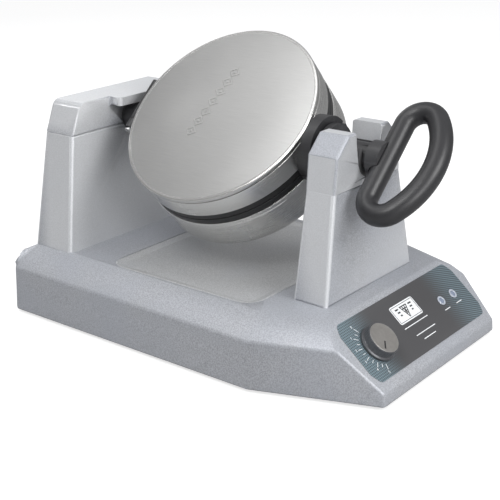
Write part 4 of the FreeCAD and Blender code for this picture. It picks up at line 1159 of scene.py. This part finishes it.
    def numbers(self) -> bpy.types.Object:
        """Makes the scale's plain numbers as thin raised print.

        Returns:
            The numbers.
        """
        work = bmesh.new()
        for number in range(6):
            angle = math.radians(118 + number * 26)
            ray = np.array([math.cos(angle), math.sin(angle)])
            mesh = self.lettered(str(number), ray * 31.5 + (self.knob_x, self.knob_up), 4.0)
            work.from_mesh(mesh)
            bpy.data.meshes.remove(mesh)
        mesh = bpy.data.meshes.new("scale_numbers")
        work.to_mesh(mesh)
        work.free()
        tidy(mesh)
        return placed(mesh, "scale_numbers", 30.0)

    def lettered(self, text: str, spot: np.ndarray, size: float) -> bpy.types.Mesh:
        """Makes one number's mesh, lying on the panel.

        Args:
            text: The number.
            spot: Its middle on the panel, in mm.
            size: Its height in mm.

        Returns:
            The mesh, in the frame.
        """
        curve = bpy.data.curves.new("number_" + text, "FONT")
        curve.body, curve.size, curve.extrude = text, size, self.ink / 2
        curve.align_x, curve.align_y, curve.resolution_u = "CENTER", "CENTER", 3
        holder = bpy.data.objects.new("number_holder", curve)
        bpy.context.scene.collection.objects.link(holder)
        bpy.context.view_layer.update()
        mesh = bpy.data.meshes.new_from_object(
            holder.evaluated_get(bpy.context.evaluated_depsgraph_get()))
        bpy.data.objects.remove(holder)
        bpy.data.curves.remove(curve)
        flat = np.zeros(len(mesh.vertices) * 3)
        mesh.vertices.foreach_get("co", flat)
        points = flat.reshape(-1, 3) + np.array([spot[0], spot[1], self.sheet + self.ink / 2])
        mesh.vertices.foreach_set("co", PANEL.world(points).ravel())
        return mesh

    def stroke(self, start: tuple[float, float], end: tuple[float, float], width: float,
               low: float) -> np.ndarray:
        """Returns a printed stroke on the panel, one layer of ink thick, from a height."""
        return PANEL.world(self.bar(np.array(start), np.array(end), width, low - 0.05,
                                    low + self.ink))

    def plate(self) -> bpy.types.Object:
        """Makes the pale plate: a rectangle with eased corners, one layer of ink thick.

        Returns:
            The plate.
        """
        left, right, low, high = self.plate_box
        ring = eased([(left, low), (right, low), (right, high), (left, high)], 3.0, 6)
        tall = np.array([-0.05, self.ink])[:, None, None] + self.sheet
        flat = np.broadcast_to(ring, (2, *ring.shape))
        grid = np.concatenate([flat, np.broadcast_to(tall, (2, len(ring), 1))], axis=-1)
        shape = Mesh()
        shape.add(PANEL.world(grid), round_columns=True, caps=True)
        return shape.make("pale_plate", 20.0)

    def pictogram(self) -> bpy.types.Object:
        """Makes the plate's dark print: a frame round a cone with its waffle lines.

        Returns:
            The print.
        """
        edge = 1.7
        left, right, low, high = np.array(self.plate_box) + (edge, -edge, edge, -edge)
        middle, top, tip = (left + right) / 2, high - 3.0, low + 1.6
        wide = 6.0
        frame = [((left, low), (right, low)), ((right, low), (right, high)),
                 ((right, high), (left, high)), ((left, high), (left, low))]
        cone = [((middle - wide, top), (middle, tip)), ((middle + wide, top), (middle, tip)),
                ((middle - wide - 0.6, top), (middle + wide + 0.6, top)),
                ((middle - 4.2, top - 3.2), (middle + 4.2, top - 3.2)),
                ((middle - 2.4, top - 6.4), (middle + 2.4, top - 6.4)),
                ((middle - 2.6, top), (middle + 1.6, tip + 3.4)),
                ((middle + 2.6, top), (middle - 1.6, tip + 3.4))]
        sides = [((middle + side * 9.5, top - drop), (middle + side * reach, top - drop))
                 for side in (-1, 1) for drop, reach in ((0.8, 15.5), (4.6, 14.0), (8.4, 12.5))]
        shape = Mesh()
        for strokes, width in ((frame, 0.6), (cone, 1.2), (sides, 1.7)):
            for start, end in strokes:
                shape.add(self.stroke(start, end, width, self.sheet + self.ink),
                          round_columns=True)
        return shape.make("cone_pictogram")

    def sign(self) -> bpy.types.Object:
        """Makes the ruled strokes under the plate and under the lamps.

        Returns:
            The strokes.
        """
        strokes = [((-24.0, 43.5), (22.0, 43.5)), ((-15.0, 31.5), (22.0, 31.5)),
                   ((-8.0, 24.5), (15.0, 24.5)), ((52.5, 37.5), (63.5, 37.5)),
                   ((77.5, 37.5), (88.5, 37.5))]
        shape = Mesh()
        for start, end in strokes:
            shape.add(self.stroke(start, end, 0.9, self.sheet), round_columns=True)
        return shape.make("panel_signs")

    def lens(self, name: str, node: str) -> bpy.types.Object:
        """Makes a lamp's lens: a short stem under a low dome.

        Args:
            name: Name of the piece.
            node: CAD node it stands for, which gives its place.

        Returns:
            The lens.
        """
        low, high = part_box(node)
        middle_x = (low.x + high.x) / 2 / MM
        radius = (high.x - low.x) / 2 / MM
        turn = np.linspace(0, math.pi / 2, 10)
        dome = np.stack([radius * np.sin(turn), 1.0 + 0.8 * np.cos(turn)], axis=1)
        profile = np.concatenate([dome, [[radius, -4.0], [0.0, -4.0]]])
        shape = Mesh()
        grid = turned(profile, 48) + np.array([middle_x, self.lamps_up, 0.0])
        shape.add(PANEL.world(grid), round_rows=True, round_columns=True)
        return shape.make(name, 50.0)


@dataclass
class Studio:
    """Pale floor, soft lights and the camera."""

    azimuth: float = -51.5
    elevation: float = 20.2
    roll: float = -0.8
    distance: float = 1.2461
    aim: float = 0.120
    shift_right: float = -0.0096
    shift_up: float = -0.0378
    focal: float = 1107.2
    frame_width: float = 500.0
    sensor: float = 36.0
    sky_strength: float = 1.0
    floor_glow: float = 0.70
    sky: tuple[tuple[float, float], ...] = ((0.0, 0.30), (0.35, 0.34), (0.75, 0.50), (1.0, 0.75))

    def build(self) -> None:
        """Sets the floor, the light and the camera."""
        self.floor()
        self.world()
        for name, place, size, power in (
                ("key_front", (0.1, -2.0, 1.5), 1.0, 28.0),
                ("top_soft", (-0.35, 0.45, 1.75), 0.75, 4.0),
                ("left_high", (-1.15, -0.1, 1.55), 0.7, 12.5),
                ("front_left", (-0.9, -2.0, 0.8), 0.8, 15.0),
                ("rim_back", (0.9, 1.6, 1.2), 0.9, 4.0)):
            self.softbox(name, place, size, power)
        self.camera()

    def floor(self) -> None:
        """Lays a pale flat disc of floor, which glows only where the camera sees it."""
        profile = np.stack([np.linspace(0, 9.0, 30), np.zeros(30) - 0.0004], axis=1)
        shape = Mesh()
        shape.add(turned(profile, 64), round_rows=True)
        floor = shape.make("floor")
        sheet = Shader("pale_floor")
        tone = sheet.noise(sheet.place(), 3.0, 2.0)
        seen = sheet.add("ShaderNodeLightPath", None, None, "Is Camera Ray")
        floor.data.materials.append(sheet.finish(
            Base_Color=sheet.blend(tone, (0.44, 0.44, 0.44), (0.46, 0.46, 0.46)), Roughness=0.9,
            Specular_IOR_Level=0.1, Emission_Color=sheet.blend(seen, (0.0, 0.0, 0.0),
                                                               (1.0, 1.0, 1.0)),
            Emission_Strength=self.floor_glow))

    def world(self) -> None:
        """Lights everything from a pale sky that is brighter overhead."""
        world = bpy.data.worlds.new("pale_room")
        world.use_nodes = True
        tree = world.node_tree
        back = tree.nodes["Background"]
        where = tree.nodes.new("ShaderNodeTexCoord")
        split = tree.nodes.new("ShaderNodeSeparateXYZ")
        bar = tree.nodes.new("ShaderNodeValToRGB")
        for number, (stop, level) in enumerate(self.sky):
            marks = bar.color_ramp.elements
            mark = marks[number] if number < 2 else marks.new(stop)
            mark.position, mark.color = stop, (level, level * 1.005, level * 1.02, 1.0)
        tree.links.new(where.outputs["Generated"], split.inputs[0])
        tree.links.new(split.outputs["Z"], bar.inputs[0])
        tree.links.new(bar.outputs[0], back.inputs["Color"])
        back.inputs["Strength"].default_value = self.sky_strength
        bpy.context.scene.world = world

    def softbox(self, name: str, place: tuple[float, float, float], size: float,
                power: float) -> None:
        """Hangs a square soft light that faces the machine.

        Args:
            name: Name of the light.
            place: Where it hangs, in metres.
            size: Its side in metres.
            power: Its strength in watts.
        """
        light = bpy.data.lights.new(name, "AREA")
        light.shape, light.size, light.energy = "SQUARE", size, power
        lamp = bpy.data.objects.new(name, light)
        bpy.context.scene.collection.objects.link(lamp)
        away = np.array(place) - np.array([0.0, 0.0, 0.12])
        flat = math.hypot(away[0], away[1])
        lamp.location = place
        lamp.rotation_euler = (math.atan2(flat, away[2]), 0.0,
                               math.atan2(away[0], -away[1]))

    def camera(self) -> None:
        """Places the camera and turns it a little about its own line of sight."""
        turn, rise = math.radians(self.azimuth), math.radians(self.elevation)
        lens = bpy.data.cameras.new("camera")
        lens.sensor_width = self.sensor
        lens.lens = self.focal / self.frame_width * self.sensor
        camera = bpy.data.objects.new("camera", lens)
        bpy.context.scene.collection.objects.link(camera)
        back = np.array([math.sin(turn) * math.cos(rise), -math.cos(turn) * math.cos(rise),
                         math.sin(rise)])
        right = np.array([math.cos(turn), math.sin(turn), 0.0])
        up = np.cross(back, right)
        spin = math.radians(self.roll)
        right, up = (math.cos(spin) * right + math.sin(spin) * up,
                     math.cos(spin) * up - math.sin(spin) * right)
        place = (np.array([0.0, 0.0, self.aim]) + back * self.distance
                 + right * self.shift_right + up * self.shift_up)
        matrix = np.eye(4)
        matrix[:3] = np.stack([right, up, back, place], axis=1)
        camera.matrix_world = Matrix(matrix.tolist())
        bpy.context.scene.camera = camera


def main() -> None:
    """Builds every sub-assembly in order, then the studio."""
    logging.basicConfig(level=logging.INFO, format="%(message)s")
    finishes = Finishes()
    for assembly in (Stand(), Drum(), Axle(), Panel()):
        assembly.build(finishes)
    Studio().build()
    scene = bpy.context.scene
    scene.view_settings.view_transform = "Standard"


if __name__ == "__main__":
    main()
